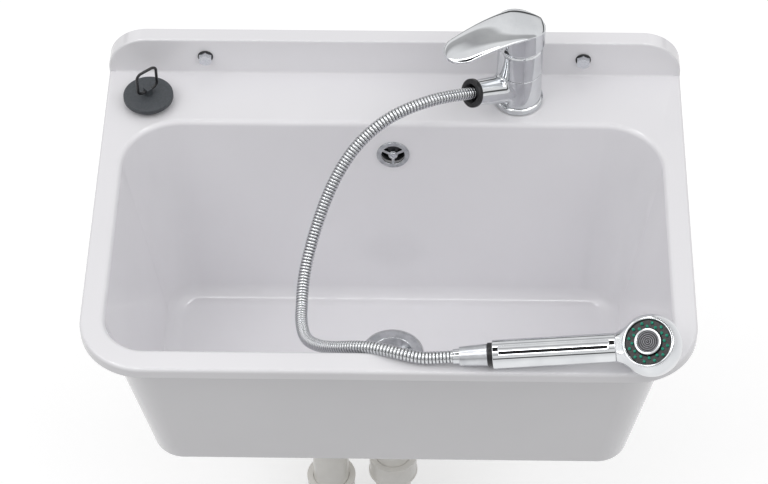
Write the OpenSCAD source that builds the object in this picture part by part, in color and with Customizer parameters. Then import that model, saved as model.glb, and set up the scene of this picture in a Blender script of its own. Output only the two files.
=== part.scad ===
// Wall-hung utility sink with a single-lever tap, a pull-out hand spray and its drain kit.
// The origin is midway between the two wall screws, on the wall. +X is to the right,
// +Y goes into the wall and +Z is up. All sizes are in millimetres.

/* [Sink] */
// Width over the rim
sink_w = 600; // [560:10:660]
// Depth from the wall to the front edge of the rim
sink_d = 423; // [400:1:460]
// Height of the wall screws above the rim
screw_above_rim = 23; // [20:1:28]
// Height of the splash-back above the rim
splash_h = 46; // [42:1:60]
// Thickness of the splash-back from the wall to its face
splash_t = 17; // [14:1:22]
// Radius of the splash-back's top corners
splash_corner_r = 42; // [20:1:44]
// Depth of the tap ledge behind the bowl
ledge_d = 74; // [70:1:90]
// Width of the rim in front of the bowl
front_rim_w = 26; // [24:1:34]
// Width of the rim at each side of the bowl
side_rim_w = 23.5; // [20:0.5:34]
// Height of the rim's down-turned lip
lip_h = 13; // [10:1:20]
// Thickness of the moulding
wall_t = 4; // [3:0.5:5]
// Radius of the rim's front corners
rim_corner_r = 65; // [40:1:80]
// Radius of the bowl's corners at the rim
bowl_corner_r = 60; // [40:1:80]
// Radius of the bowl's corners at the floor
floor_corner_r = 46; // [30:1:60]
// Depth of the bowl below the rim
bowl_depth = 245; // [200:1:280]
// Slope of the bowl's back wall, in degrees
back_taper = 5.3; // [3:0.1:8]
// Slope of the bowl's front wall, in degrees
front_taper = 14; // [8:0.5:18]
// Slope of the bowl's side walls, in degrees
side_taper = 8; // [5:0.5:10]
// Radius of the rim's outer edge
rim_edge_r = 6; // [4:0.5:8]
// Radius of the edge between the rim and the bowl
bowl_edge_r = 8; // [5:0.5:10]
// Radius between the bowl's walls and its floor
floor_edge_r = 16; // [10:1:24]

/* [Wall screws] */
// Distance between the two wall screws
screw_pitch = 395; // [340:1:430]
// Radius of a wall screw's shank
screw_r = 4; // [3:0.5:5]
// Size of a wall screw's head across its flats
screw_head_af = 13; // [10:1:15]
// Height of a wall screw's head
screw_head_h = 5.5; // [4:0.5:7]
// Length of a wall screw's shank behind the wall's face
screw_in_wall = 15; // [12:1:70]
// Radius of a washer
washer_r = 8; // [7.5:0.5:10]
// Thickness of a washer
washer_t = 1.6; // [1:0.1:2.5]

/* [Waste] */
// Distance of the waste's centre from the wall
waste_from_wall = 196; // [185:1:210]
// Radius of the waste flange
flange_r = 33; // [31:0.5:36]
// Radius of the dish at the flange
dish_r = 22.5; // [20:0.5:24]
// Radius of the strainer's opening
strainer_r = 16; // [13:0.5:18]
// Depth of the dish
dish_depth = 10; // [8:0.5:14]
// Radius of the waste hole in the floor
waste_hole_r = 26; // [25:0.5:28]
// Depth of the recess that the flange sits in
recess_depth = 2; // [1.5:0.5:3]
// Radius of the waste body
waste_body_r = 26.5; // [26:0.5:29]
// Height of the waste body
waste_body_h = 38; // [36:1:46]
// Thickness of the rubber gaskets
gasket_t = 2; // [1.5:0.5:3]

/* [Drain pipes] */
// Outer radius of the pipes
pipe_r = 20; // [19:0.5:21]
// Wall thickness of the pipes
pipe_t = 2; // [1.5:0.5:2.5]
// Distance between the two legs of the U-bend
trap_pitch = 70; // [66:1:90]
// Height of the U-bend's centre below the rim
trap_below_rim = 486; // [470:1:540]
// Height of the outlet pipe above the U-bend's centre
outlet_rise = 74; // [66:1:100]
// Radius of the outlet elbow at its centre line
elbow_r = 30; // [26:1:36]
// Length of the outlet pipe behind the wall's face
outlet_in_wall = 25; // [20:1:60]
// Radius of the slip nuts
slip_nut_r = 26.5; // [26:0.5:29]
// Height of the slip nuts
slip_nut_h = 30; // [26:1:34]
// Radius of the wall rosette
rosette_r = 35; // [32:1:42]
// Height of the wall rosette
rosette_h = 12; // [8:1:18]
// Depth of the appliance branch's foot below the sink's floor
branch_below_floor = 110; // [90:1:130]
// Radius of the appliance branch
branch_r = 9; // [8:0.5:10]
// Slope of the appliance branch, in degrees
branch_slope = 39; // [30:1:50]
// Length of the appliance branch from the pipe's axis
branch_len = 66; // [55:1:80]

/* [Overflow] */
// Depth of the overflow's centre below the rim
overflow_below_rim = 41; // [38:1:50]
// Radius of the overflow grille
grille_r = 17; // [16:0.5:19]
// Radius of the overflow hole in the wall
overflow_hole_r = 13; // [12:0.5:14]
// Radius of the overflow head
head_r = 20.5; // [19.5:0.5:24]
// Depth of the overflow head
head_d = 24; // [20:1:30]
// Radius of the overflow hose at its ribs
overflow_hose_r = 12.5; // [12:0.1:13]
// Number of ribs on the overflow hose
overflow_ribs = 72; // [40:1:80]
// Depth of the waste body's side spigot below the sink's floor
spigot_below_floor = 28; // [26:1:32]
// Radius of the side spigot on the waste body
spigot_r = 17.5; // [16.5:0.5:18]
// Reach of the side spigot from the waste's axis
spigot_reach = 40; // [36:1:44]

/* [Plug] */
// Radius of the plug's top disc
plug_r = 26; // [24:0.5:28]
// Radius of the plug's lower step
plug_step_r = 21; // [19:0.5:22]
// Height of the plug without its post
plug_h = 11; // [9:0.5:14]
// Width of the bail
bail_w = 24; // [18:1:30]
// Height of the bail
bail_h = 28; // [20:1:36]
// Radius of the bail's wire
bail_wire_r = 1.5; // [1:0.1:2]
// Place of the plug from the sink's left edge
plug_from_left = 45; // [40:1:60]
// Place of the plug from the wall
plug_from_wall = 61; // [56:1:64]
// Turn of the plug on the ledge, in degrees
plug_turn = 40; // [0:5:90]

/* [Tap] */
// Place of the tap to the right of the middle
tap_x = 130; // [100:1:150]
// Distance of the tap's axis from the wall
tap_from_wall = 53; // [50:1:58]
// Direction of the spout and lever, in degrees from the right
tap_dir = 215; // [200:1:230]
// Radius of the tap's body
tap_r = 23.5; // [22:0.5:25]
// Radius of the base ring
base_ring_r = 25.5; // [24:0.5:28]
// Height of the base ring's top above the ledge
base_h = 8; // [7:0.5:12]
// Height of the spout body
spout_body_h = 38; // [36:1:44]
// Height of the cartridge housing
housing_h = 34; // [33:1:40]
// Gap shown at the tap's seams
seam = 0.4; // [0.2:0.1:0.8]
// Radius of the column inside the spout body
column_r = 17.9; // [17:0.1:18.2]
// Running clearance between the spout body and the column
spout_clearance = 0.08; // [0.04:0.01:0.1]
// Radius of the threaded shank below the tap
shank_r = 16.4; // [15:0.2:16.8]
// Length of the threaded shank below the ledge's top
shank_len = 46; // [40:1:60]
// Radius of the tap hole in the ledge
tap_hole_r = 17.5; // [17:0.5:18]
// Radius of the two inlet holes
inlet_r = 4.6; // [4:0.1:4.8]
// Rise of the spout, in degrees
spout_rise = 22; // [16:1:26]
// Radius of the spout at its mouth
spout_r = 12.6; // [12.4:0.1:14]
// Length of the spout from the tap's axis
spout_len = 62; // [56:1:70]
// Radius of the black hose socket
socket_r = 15; // [14:0.5:16]
// Radius of the cartridge
cartridge_r = 17.5; // [16:0.5:18]
// Radius of the lever's cap
cap_r = 25; // [24.5:0.5:26]
// Reach of the lever from the tap's axis
lever_reach = 92; // [80:1:100]
// Width of the lever's blade
blade_w = 40; // [32:1:44]
// Thickness of the lever's blade
blade_t = 7; // [5:0.5:9]

/* [Hose] */
// Radius of the steel hose over its ribs
hose_r = 6.25; // [6:0.05:6.3]
// Number of ribs on the steel hose from the tap to its lowest point
upper_ribs = 80; // [40:1:90]
// Number of ribs on the steel hose from its lowest point to the hand spray
lower_ribs = 60; // [40:1:90]

/* [Hand spray] */
// Place of the spray head to the right of the middle
spray_x = 250; // [220:1:255]
// Radius of the spray head
ball_r = 30; // [28:0.5:31]
// Radius of the handle
grip_r = 14; // [13:0.5:15]
// Distance from the head's centre to the seam of the handle
neck_reach = 33; // [32:0.5:36]
// Distance from the head's centre to the lower end of the handle
grip_end = 150; // [135:1:160]
// Length of the black swivel ring
ring_len = 5; // [4:0.5:6]
// Length of the hose's cone nut
nut_len = 27; // [24:1:30]
// Turn of the spray about its handle, in degrees
spray_roll = 28; // [10:1:40]
// Lean of the spray's face towards the handle, in degrees
face_lean = 8; // [0:1:15]
// Radius of the face's bezel
bezel_r = 25; // [23:0.5:26]
// Number of nozzles in each of the two rows
nozzles_per_row = 12; // [10:1:14]
// Radius of the aerator collar
aerator_r = 12.7; // [11.5:0.1:13]
// Height of the aerator collar above the nozzle plate
aerator_rise = 5; // [4:0.5:7]

/* [Hidden] */

// Clearances and small sizes that several pieces share
fit_gap = 0.3;
slip_gap = 0.1;
pin_gap = 0.07;
press_gap = 0.01;
cut = 1;
round_fn = 96;
small_fn = 48;
bend_fn = 48;

// Sink
rim_z = -screw_above_rim;
half_w = sink_w / 2;
bowl_half = half_w - side_rim_w;
bowl_back = -splash_t - ledge_d;
bowl_front = -sink_d + front_rim_w;
floor_z = rim_z - bowl_depth;
back_corner_r = 3;
corner_points = 16;
seat_t = 8;
seat_r = 40;
boss_r = 9;
recess_gap = 1;
splash_top_z = rim_z + splash_h;
seat_under_z = floor_z - seat_t;
waste_y = -waste_from_wall;
screw_hole_gap = 0.6;
screw_hole_r = screw_r + screw_hole_gap;
screw_point = 6;
screw_tip_r = 0.5;
screw_neck_r = screw_r - 0.4;

// Waste
flange_z = floor_z - recess_depth;
flange_t = 1.5;
putty_t = recess_depth - flange_t;
dish_z = floor_z - dish_depth;
steel_t = 1;
hub_r = 5;
bar_count = 6;
bar_w = 2.6;
waste_screw_r = 3;
waste_screw_len = 34;
body_z = seat_under_z - gasket_t;
body_flange_t = 5;
body_t = 3;
body_end_z = body_z - waste_body_h;
thread_r = pipe_r + 3.5;
bell_r = pipe_r + fit_gap;
thread_len = 16;
pipe_in_thread = 12;
tail_seal_t = 2.5;
nut_lip = 3;
nut_bore_r = thread_r + fit_gap;
nut_free = 1;
waste_nut_h = thread_len + tail_seal_t + nut_lip - nut_free;
ridge = 0.9;
ridge_w = 2;
spoke_drop = 28;
spoke_h = 14;
spoke_t = 2.5;
waste_screw_head_h = 2.2;
waste_screw_head_r = hub_r - 0.2;
seal_edge = 0.5;
gasket_proud = 1;

// Drain pipes
pipe_in_r = pipe_r - pipe_t;
tail_top_z = body_end_z - thread_len + pipe_in_thread;
trap_z = rim_z - trap_below_rim;
outlet_z = trap_z + outlet_rise;
trap_x = -trap_pitch;
bend_r = trap_pitch / 2;
inlet_leg = 38;
bell_len = 24;
outlet_bell_len = 22;
inlet_bell_z = trap_z + inlet_leg;
inlet_top_z = inlet_bell_z + bell_len;
outlet_bell_z = trap_z;
outlet_top_z = outlet_bell_z + outlet_bell_len;
pipe_stop = 3;
mark_w = 2;
mark_depth = 0.4;
branch_z = floor_z - branch_below_floor;
branch_t = 1.8;
branch_seal_t = 1.5;
branch_cap_len = 8;
branch_cap_wall = 0.8;
branch_cap_edge = 1;
rosette_t = 2;
rosette_brim = 5;
rosette_collar = 5;
rosette_round = 1;
rosette_in_r = pipe_r + slip_gap;

// Overflow, in a frame whose origin is on the bowl's back wall and whose +Y leaves the bowl
overflow_y = bowl_back - overflow_below_rim * tan(back_taper);
overflow_z = rim_z - overflow_below_rim;
grille_t = 2;
grille_ring_w = 5;
spoke_w = 3;
spoke_count = 3;
overflow_screw_r = 2.4;
overflow_screw_head_r = 3.8;
overflow_screw_head_h = 1.4;
overflow_screw_len = 20;
overflow_screw_edge = 1;
head_y = wall_t + gasket_t;
head_t = 3;
neck_r = 9.8;
neck_t = 2;
neck_len = 24;
spigot_z = floor_z - spigot_below_floor;
spigot_dir = 125;
neck_turn = 50;
spigot_in_r = 14.5;
hose_seal_t = 1.5;
hose_nut_len = 14;
hose_nut_wall = 1.5;
hose_nut_step = 1;
hose_nut_mouth = 2.5;
hose_bore_gap = 1.5;
overflow_valley = 0.8;

// Plug
plug_x = -half_w + plug_from_left;
plug_y = -plug_from_wall;
plug_z = rim_z + fit_gap;
plug_step_h = 5.5;
plug_bevel = 1;
post_w = 6;
post_d = 8;
post_h = 8;
bail_hole_up = 4.5;
bail_z = plug_z + plug_h + bail_hole_up;
bail_corner_r = 6;

// Tap, whose heights are measured from the top of the ledge
tap_y = -tap_from_wall;
spout_z = 18;
spout_bottom = base_h + seam;
spout_top = base_h + spout_body_h - seam;
housing_z = base_h + spout_body_h;
housing_top = housing_z + housing_h;
lever_gap = 1;
lever_z = housing_top + lever_gap;
base_gasket_t = 1;
base_bevel = 1.5;
spout_bore_r = column_r + spout_clearance;
o_ring_h = 2.4;
o_ring_depth = 1.5;
o_ring_gap = 0.1;
o_ring_low = 11;
o_ring_high = 43;
web_low = 2;
web_high = 12;
shank_in_r = 13.4;
chamber_r = 14.5;
inlet_spread = 6.8;
inlet_back = 4.6;
hose_pass_r = 7.2;
hose_pass_y = -5.8;
neck_thread_r = 12;
neck_thread_h = 6;
neck_end_gap = 0.2;
window_low = 17;
window_high = 40;
window_from = -68;
window_sweep = 154;
spout_root_r = 16.4;
spout_bore = 8.5;
socket_in_r = 7;
socket_neck_r = 10.9;
socket_neck_len = 14;
socket_len = 5;
socket_edge = 1;
funnel_r = 10.5;
housing_floor = 6;
housing_edge = 3;
housing_edge_in = 1;
nut_seat_r = 19.3;
cartridge_nut_h = 6;
cartridge_nut_in_r = 10.5;
cartridge_low = housing_z + housing_floor;
cartridge_top = housing_top - cartridge_nut_h;
disc_chamber_r = 14;
disc_chamber_h = 8;
port_r = 3;
port_back = 3;
port_spread = 5;
mix_port_r = 3.5;
mix_port_at = 6;
moving_disc_in = 3;
moving_hollow_r = 5;
turret_r = 8.5;
turret_rise = 2;
pivot_drop = 3;
pivot_z = cartridge_top - pivot_drop;
stem_w = 8;
stem_top = lever_z + 12;
turret_pin_r = 1.25;
turret_pin_len = 14;
cap_h = 19;
cap_bevel = 3;
cap_wall = 2.6;
cap_in_r = cap_r - cap_wall;
cap_bevel_in = 1.2;
cap_roof = 3;
cap_below_blade = 2;
socket_block_r = 8;
socket_block_z = lever_z + 4.5;
tip_drop = 4;
grub_r = 2.5;
grub_z = lever_z + 7.5;
grub_len = 15;
shank_washer_r = 28;
shank_washer_t = 3;
shank_plate_t = 1.5;
back_nut_af = 46;
back_nut_h = 9;

// Steel hose
hose_valley = 0.75;
hose_wall = 1.6;

// Hand spray, whose own frame has its origin in the head and +X along the handle
spray_y = bowl_front - front_rim_w / 2 - 1;
spray_z = rim_z + fit_gap + ball_r;
spray_tilt = asin((ball_r - grip_r) / grip_end);
face_z = sqrt(ball_r * ball_r - bezel_r * bezel_r);
ball_t = 2.5;
grip_t = 2.5;
neck_root = 16;
neck_root_r = 21;
tail_r = 8;
tail_t = 1.6;
tail_len = 16;
ring_r = 11.5;
nut_r_big = 10.7;
nut_r_small = 9.2;
ferrule_r = 7.4;
ferrule_in_r = hose_r + 0.15;
ferrule_len = 12;
ferrule_show = 6;
recess_w = 10.5;
recess_cut = 1.2;
recess_margin = 5;
bezel_rise = 1.2;
bezel_t = 5;
bezel_slope = 2;
sleeve_r = bezel_r - bezel_slope;
sleeve_t = 1;
nozzle_tip = 0.7;
collar_foot = 2;
collar_foot_t = 1.5;
mesh_ring_w = 1;
mesh_ring_step = 2.5;
mesh_first_r = 3;
mesh_last_r = 8;
plate_z = face_z - 1.6;
plate_t = 2.5;
plate_hole_r = aerator_r + 0.2;
nozzle_r = 1.3;
nozzle_h = 2.6;
nozzle_row_in = 15.3;
nozzle_row_out = 18.7;
aerator_w = 2.3;
mesh_t = 1.2;
mesh_sunk = 1;
mesh_groove = 0.4;

// Routes of the three hose runs, as the control points of smooth curves. The overflow hose
// is held at both ends: its first points are measured from the overflow, its last ones from
// the spigot, and the ones between have a share of the height between those.
overflow_head_points = [
    [-23.7, 16.1, -21.5], [-42.9, 14.6, -37.5], [-62, 13.1, -53.5], [-79, 11.8, -70]
];
overflow_spigot_points = [
    [-65, 94, 15], [-53, 77, 3.5], [-39.6, 56.5, 0], [-32.2, 45.9, 0], [-24.7, 35.2, 0]
];
overflow_middle_points = [
    [-91, 7, 0.143], [-96, 6, 0.306], [-95, 5, 0.469], [-88, 4, 0.626], [-80, 3.5, 0.755], [-74, -0.5, 0.891]
];
overflow_high = overflow_z + overflow_head_points[3].z;
overflow_low = spigot_z + overflow_spigot_points[0].z;
overflow_route = concat(
    [for (p = overflow_head_points) p + [0, overflow_y, overflow_z]],
    [
        for (p = overflow_middle_points)
            [p.x, bowl_back + p.y, overflow_high + (overflow_low - overflow_high) * p.z]
    ],
    [for (p = overflow_spigot_points) p + [0, waste_y, spigot_z]]
);
upper_route = [
    [88.2, -82.3, 15.6], [69.2, -95.6, 25], [50.2, -108.9, 34.3], [28, -122, 38], [4, -134, 36],
    [-18, -146, 27], [-37, -158, 12], [-52, -171, -7], [-64, -185, -28], [-73, -200, -48],
    [-80, -216, -65], [-85, -232, -78], [-88, -248, -87], [-89, -264, -92], [-89, -280, -94]
];
lower_route = [
    [-89, -280, -94], [-89, -296, -94], [-87, -313, -91], [-83, -330, -84], [-76, -345, -74],
    [-66, -359, -62], [-54, -371, -49], [-40, -381, -36], [-23, -390, -24.5], [-4, -398.5, -17.5],
    [15.5, -406.5, -15.3], [32, -410.6, -15.6], [43, -411, -14.9], [55, -411, -13.6], [67, -411, -12.3]
];

// Points of a rounded rectangle at one height, corner by corner
function rounded_ring(hx, back, front, r_back, r_front, z) = [
    for (c = [0:3])
        let (
            r = c < 2 ? r_back : r_front,
            side = c == 0 || c == 3 ? 1 : -1,
            x = side * (hx - r),
            y = c < 2 ? back - r : front + r
        )
        for (i = [0:corner_points - 1])
            let (a = 90 * c + 90 * i / (corner_points - 1))
            [x + r * cos(a), y + r * sin(a), z]
];

// Triangles of a closed skin over rings of n points, from one middle point to another
function skin_faces(m, n) = concat(
    [for (j = [0:n - 1]) [0, 1 + j, 1 + (j + 1) % n]],
    [
        for (i = [0:m - 2])
            for (j = [0:n - 1])
                let (a = 1 + i * n + j, b = 1 + i * n + (j + 1) % n)
                each [[a, a + n, b], [b, a + n, b + n]]
    ],
    [for (j = [0:n - 1]) [m * n + 1, 1 + (m - 1) * n + (j + 1) % n, 1 + (m - 1) * n + j]]
);

module skin(start, rings, end) {
    points = concat([start], [for (ring = rings) each ring], [end]);
    polyhedron(points, skin_faces(len(rings), len(rings[0])), convexity = 10);
}

// One ring of the bowl at a depth below the rim, moved outwards by a wall's thickness
function bowl_ring(depth, out, z) =
    let (t = depth / bowl_depth, r = bowl_corner_r + (floor_corner_r - bowl_corner_r) * t)
    rounded_ring(
        bowl_half - depth * tan(side_taper) + out,
        bowl_back - depth * tan(back_taper) + out,
        bowl_front + depth * tan(front_taper) - out,
        r + out, r + out, z
    );

function rim_ring(inset, z) = rounded_ring(
    half_w - inset, -inset, -sink_d + inset, max(back_corner_r - inset, 0.5), rim_corner_r - inset, z
);

// Half of the shell's section: the rings run from under the floor, up the outside, over
// the rim and down to the floor inside
outer_floor_r = floor_edge_r + wall_t;
outer_depth = bowl_depth + wall_t;
under_rim_r = 4;
shell_rings = concat(
    [
        for (a = [90:-22.5:0])
            let (depth = outer_depth - outer_floor_r * (1 - sin(a)))
            bowl_ring(depth, wall_t - outer_floor_r * (1 - cos(a)), rim_z - depth)
    ],
    [
        bowl_ring(wall_t + under_rim_r, wall_t, rim_z - wall_t - under_rim_r),
        bowl_ring(wall_t, wall_t + under_rim_r, rim_z - wall_t),
        rim_ring(wall_t, rim_z - wall_t),
        rim_ring(wall_t, rim_z - lip_h),
        rim_ring(0, rim_z - lip_h)
    ],
    [for (a = [0:22.5:90]) rim_ring(rim_edge_r * (1 - cos(a)), rim_z - rim_edge_r * (1 - sin(a)))],
    [
        for (a = [0:22.5:90])
            let (depth = bowl_edge_r * (1 - cos(a)))
            bowl_ring(depth, bowl_edge_r * (1 - sin(a)), rim_z - depth)
    ],
    [
        for (a = [0:22.5:90])
            let (depth = bowl_depth - floor_edge_r * (1 - sin(a)))
            bowl_ring(depth, -floor_edge_r * (1 - cos(a)), rim_z - depth)
    ]
);

// Smooth curve through a route, whose control points are counted from 0
function route_knot(p, i) =
    i < 0 ? 2 * p[0] - p[1] : i > len(p) - 1 ? 2 * p[len(p) - 1] - p[len(p) - 2] : p[i];
function route_at(p, s) =
    let (i = min(floor(s), len(p) - 2), f = s - i, g = 1 - f)
    (
        pow(g, 3) * route_knot(p, i - 1)
        + (3 * pow(f, 3) - 6 * f * f + 4) * route_knot(p, i)
        + (3 * pow(g, 3) - 6 * g * g + 4) * route_knot(p, i + 1)
        + pow(f, 3) * route_knot(p, i + 2)
    ) / 6;
route_steps = 12;
function route_lengths(p) =
    let (n = route_steps * (len(p) - 1), q = [for (i = [0:n]) route_at(p, i / route_steps)])
    [
        for (i = 0, s = 0; i <= n; i = i + 1, s = i > n ? s : s + norm(q[i] - q[i - 1]))
            [s, i / route_steps]
    ];
function route_points(p, n) =
    let (t = route_lengths(p), total = t[len(t) - 1][0])
    [for (i = [0:n]) route_at(p, lookup(total * i / n, t))];

// Direction of a line at one of its points, and a side direction carried along it
function unit(v) = v / norm(v);
function heading(c, i) = unit(c[min(i + 1, len(c) - 1)] - c[max(i - 1, 0)]);
function square_to(v, t) = unit(v - (v * t) * t);
function sides(c) = [
    for (
        i = 0, u = square_to([1, 0.3, 0.2], heading(c, 0));
        i < len(c);
        i = i + 1, u = i < len(c) ? square_to(u, heading(c, i)) : u
    ) u
];

// Rings of a tube: radii holds one radius for each centre
hose_sides = 8;
function tube_rings(c, radii) =
    let (u = sides(c))
    [
        for (i = [0:len(c) - 1])
            let (v = cross(heading(c, i), u[i]))
            [
                for (k = [0:hose_sides - 1])
                    let (a = 360 * k / hose_sides)
                    c[i] + radii[i] * (cos(a) * u[i] + sin(a) * v)
            ]
    ];
function loop_faces(m, n) = [
    for (i = [0:m - 1])
        for (j = [0:n - 1])
            let (a = i * n + j, b = i * n + (j + 1) % n, next = ((i + 1) % m) * n)
            each [[a, next + j, b], [b, next + j, next + (j + 1) % n]]
];

// A hose with its bore and its ribs along a route
bore_step = 5;
module ribbed_hose(route, ribs, crest, valley, bore) {
    c = route_points(route, 2 * ribs);
    radii = [for (i = [0:len(c) - 1]) i % 2 == 0 ? valley : crest];
    outside = tube_rings(c, radii);
    bore_rings = tube_rings(c, [for (p = c) bore]);
    last = len(c) - 1;
    inside = [for (i = [last:-1:0]) if (i % bore_step == 0 || i == last) bore_rings[i]];
    rings = concat(outside, inside);
    apart = 2 * ceil(2 * crest / norm(c[1] - c[0]));
    gap = min([
        for (i = [0:last - apart - 1])
            for (j = [i + apart:4:last])
                norm(c[i] - c[j]) - 2 * crest
    ]);
    echo(str("least gap of the hose to itself: ", gap));
    polyhedron([for (ring = rings) each ring], loop_faces(len(rings), hose_sides), convexity = 20);
}

// A plain ring, or a tube, standing on z
module tube(r_out, r_in, z, h, fn = round_fn) {
    difference() {
        translate([0, 0, z]) cylinder(r = r_out, h = h, $fn = fn);
        translate([0, 0, z - cut]) cylinder(r = r_in, h = h + 2 * cut, $fn = fn);
    }
}

module screw_places() {
    for (side = [-1, 1]) translate([side * screw_pitch / 2, 0, 0]) rotate([90, 0, 0]) children();
}

module waste_place() {
    translate([0, waste_y, 0]) children();
}

// In this frame +Y leaves the bowl square to its back wall
module overflow_place() {
    translate([0, overflow_y, overflow_z]) rotate([-back_taper, 0, 0]) children();
}

module along_y(y) {
    translate([0, y, 0]) rotate([-90, 0, 0]) children();
}

module splash_outline(inset) {
    w = sink_w - 2 * inset;
    r = splash_corner_r - inset;
    top = splash_top_z - inset;
    low = rim_z - wall_t;
    intersection() {
        union() {
            translate([-w / 2, low]) square([w, top - r - low]);
            translate([-w / 2 + r, low]) square([w - 2 * r, top - low]);
            for (side = [-1, 1]) translate([side * (w / 2 - r), top - r]) circle(r = r, $fn = round_fn);
        }
        translate([-w / 2, low]) square([w, top - low]);
    }
}

module splash_back() {
    difference() {
        rotate([90, 0, 0]) linear_extrude(splash_t) splash_outline(0);
        difference() {
            translate([0, cut, 0]) rotate([90, 0, 0]) linear_extrude(splash_t - wall_t + cut) {
                splash_outline(wall_t);
            }
            translate([-sink_w, -splash_t, rim_z - 2 * wall_t]) {
                cube([2 * sink_w, 2 * splash_t, 2 * wall_t]);
            }
        }
    }
    screw_places() cylinder(r = boss_r, h = splash_t - wall_t / 2, $fn = small_fn);
}

module sink_shell() {
    color("white") difference() {
        union() {
            skin([0, waste_y, rim_z - outer_depth], shell_rings, [0, waste_y, floor_z]);
            splash_back();
            waste_place() translate([0, 0, seat_under_z]) {
                cylinder(r = seat_r, h = seat_t - wall_t / 2, $fn = round_fn);
            }
        }
        screw_places() translate([0, 0, -cut]) {
            cylinder(r = screw_hole_r, h = splash_t + 2 * cut, $fn = small_fn);
        }
        waste_place() translate([0, 0, seat_under_z - cut]) {
            cylinder(r = waste_hole_r, h = seat_t + 2 * cut, $fn = round_fn);
        }
        waste_place() translate([0, 0, flange_z]) {
            cylinder(r = flange_r + recess_gap, h = recess_depth + cut, $fn = round_fn);
        }
        overflow_place() along_y(-wall_t) cylinder(r = overflow_hole_r, h = 3 * wall_t, $fn = round_fn);
        translate([tap_x, tap_y, rim_z - 2 * wall_t]) {
            cylinder(r = tap_hole_r, h = 3 * wall_t, $fn = round_fn);
        }
    }
}

module wall_screws() {
    color("silver") screw_places() {
        translate([0, 0, -screw_in_wall]) cylinder(r = screw_r, h = screw_in_wall, $fn = small_fn);
        translate([0, 0, -cut]) {
            cylinder(r = screw_neck_r, h = splash_t + washer_t + 2 * cut, $fn = small_fn);
        }
        translate([0, 0, -screw_in_wall - screw_point]) {
            cylinder(r1 = screw_tip_r, r2 = screw_r, h = screw_point, $fn = small_fn);
        }
        translate([0, 0, splash_t + washer_t]) {
            cylinder(r = screw_head_af / 2 / cos(30), h = screw_head_h, $fn = 6);
        }
    }
}

module screw_washers() {
    color("gray") screw_places() tube(washer_r, screw_r + fit_gap, splash_t, washer_t, small_fn);
}

module waste_flange() {
    low = dish_z - steel_t;
    color("silver") waste_place() {
        rotate_extrude($fn = round_fn) polygon([
            [flange_r, floor_z - flange_t], [dish_r + steel_t, floor_z - flange_t],
            [strainer_r + steel_t, low], [strainer_r - steel_t, low], [strainer_r - steel_t, dish_z],
            [strainer_r, dish_z], [dish_r, floor_z], [flange_r - steel_t, floor_z],
            [flange_r, floor_z - flange_t / 2]
        ]);
        difference() {
            union() {
                translate([0, 0, low]) cylinder(r = hub_r, h = steel_t, $fn = small_fn);
                for (k = [1:bar_count]) rotate([0, 0, 360 * k / bar_count]) {
                    translate([0, -bar_w / 2, low]) cube([strainer_r - steel_t / 2, bar_w, steel_t]);
                }
            }
            translate([0, 0, low - cut]) {
                cylinder(r = waste_screw_r + slip_gap, h = steel_t + 2 * cut, $fn = small_fn);
            }
        }
    }
}

module flange_seal() {
    color("lightgray") waste_place() tube(flange_r - seal_edge, waste_hole_r + seal_edge, flange_z, putty_t);
}

module waste_screw() {
    color("silver") waste_place() {
        translate([0, 0, dish_z - waste_screw_len]) {
            cylinder(r = waste_screw_r, h = waste_screw_len, $fn = small_fn);
        }
        translate([0, 0, dish_z]) {
            cylinder(r1 = waste_screw_head_r, r2 = waste_screw_r, h = waste_screw_head_h, $fn = small_fn);
        }
    }
}

module waste_gasket() {
    color("white") waste_place() tube(flange_r + gasket_proud, waste_hole_r + seal_edge, body_z, gasket_t);
}

module body_spokes() {
    rib_z = body_z - spoke_drop;
    difference() {
        union() {
            translate([0, 0, rib_z]) cylinder(r = hub_r + 1, h = spoke_h, $fn = small_fn);
            for (k = [0:2]) rotate([0, 0, 30 + 120 * k]) translate([0, -spoke_t / 2, rib_z]) {
                cube([waste_body_r - body_t / 2, spoke_t, spoke_h / 2]);
            }
        }
        translate([0, 0, rib_z - cut]) {
            cylinder(r = waste_screw_r + slip_gap / 2, h = spoke_h + 2 * cut, $fn = small_fn);
        }
    }
}

module spigot_place() {
    translate([0, waste_y, spigot_z]) rotate([0, 0, spigot_dir]) rotate([0, 90, 0]) children();
}

module waste_body() {
    color("white") {
        difference() {
            union() {
                waste_place() {
                    translate([0, 0, body_z - body_flange_t]) {
                        cylinder(r = flange_r, h = body_flange_t, $fn = round_fn);
                    }
                    translate([0, 0, body_end_z]) {
                        cylinder(r = waste_body_r, h = waste_body_h - cut, $fn = round_fn);
                    }
                    translate([0, 0, body_end_z - thread_len]) {
                        cylinder(r = thread_r, h = thread_len + cut, $fn = round_fn);
                    }
                    for (z = [body_end_z, body_end_z + 3 * ridge_w]) {
                        translate([0, 0, z]) cylinder(r = waste_body_r + ridge, h = ridge_w, $fn = round_fn);
                    }
                }
                spigot_place() cylinder(r = spigot_r, h = spigot_reach, $fn = round_fn);
            }
            waste_place() {
                translate([0, 0, body_end_z + body_t]) {
                    cylinder(r = waste_body_r - body_t, h = waste_body_h, $fn = round_fn);
                }
                translate([0, 0, body_end_z - thread_len - cut]) {
                    cylinder(r = bell_r, h = thread_len + body_t + 2 * cut, $fn = round_fn);
                }
            }
            spigot_place() translate([0, 0, pipe_r]) {
                cylinder(r = spigot_in_r, h = spigot_reach, $fn = round_fn);
            }
        }
        waste_place() body_spokes();
    }
}

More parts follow.
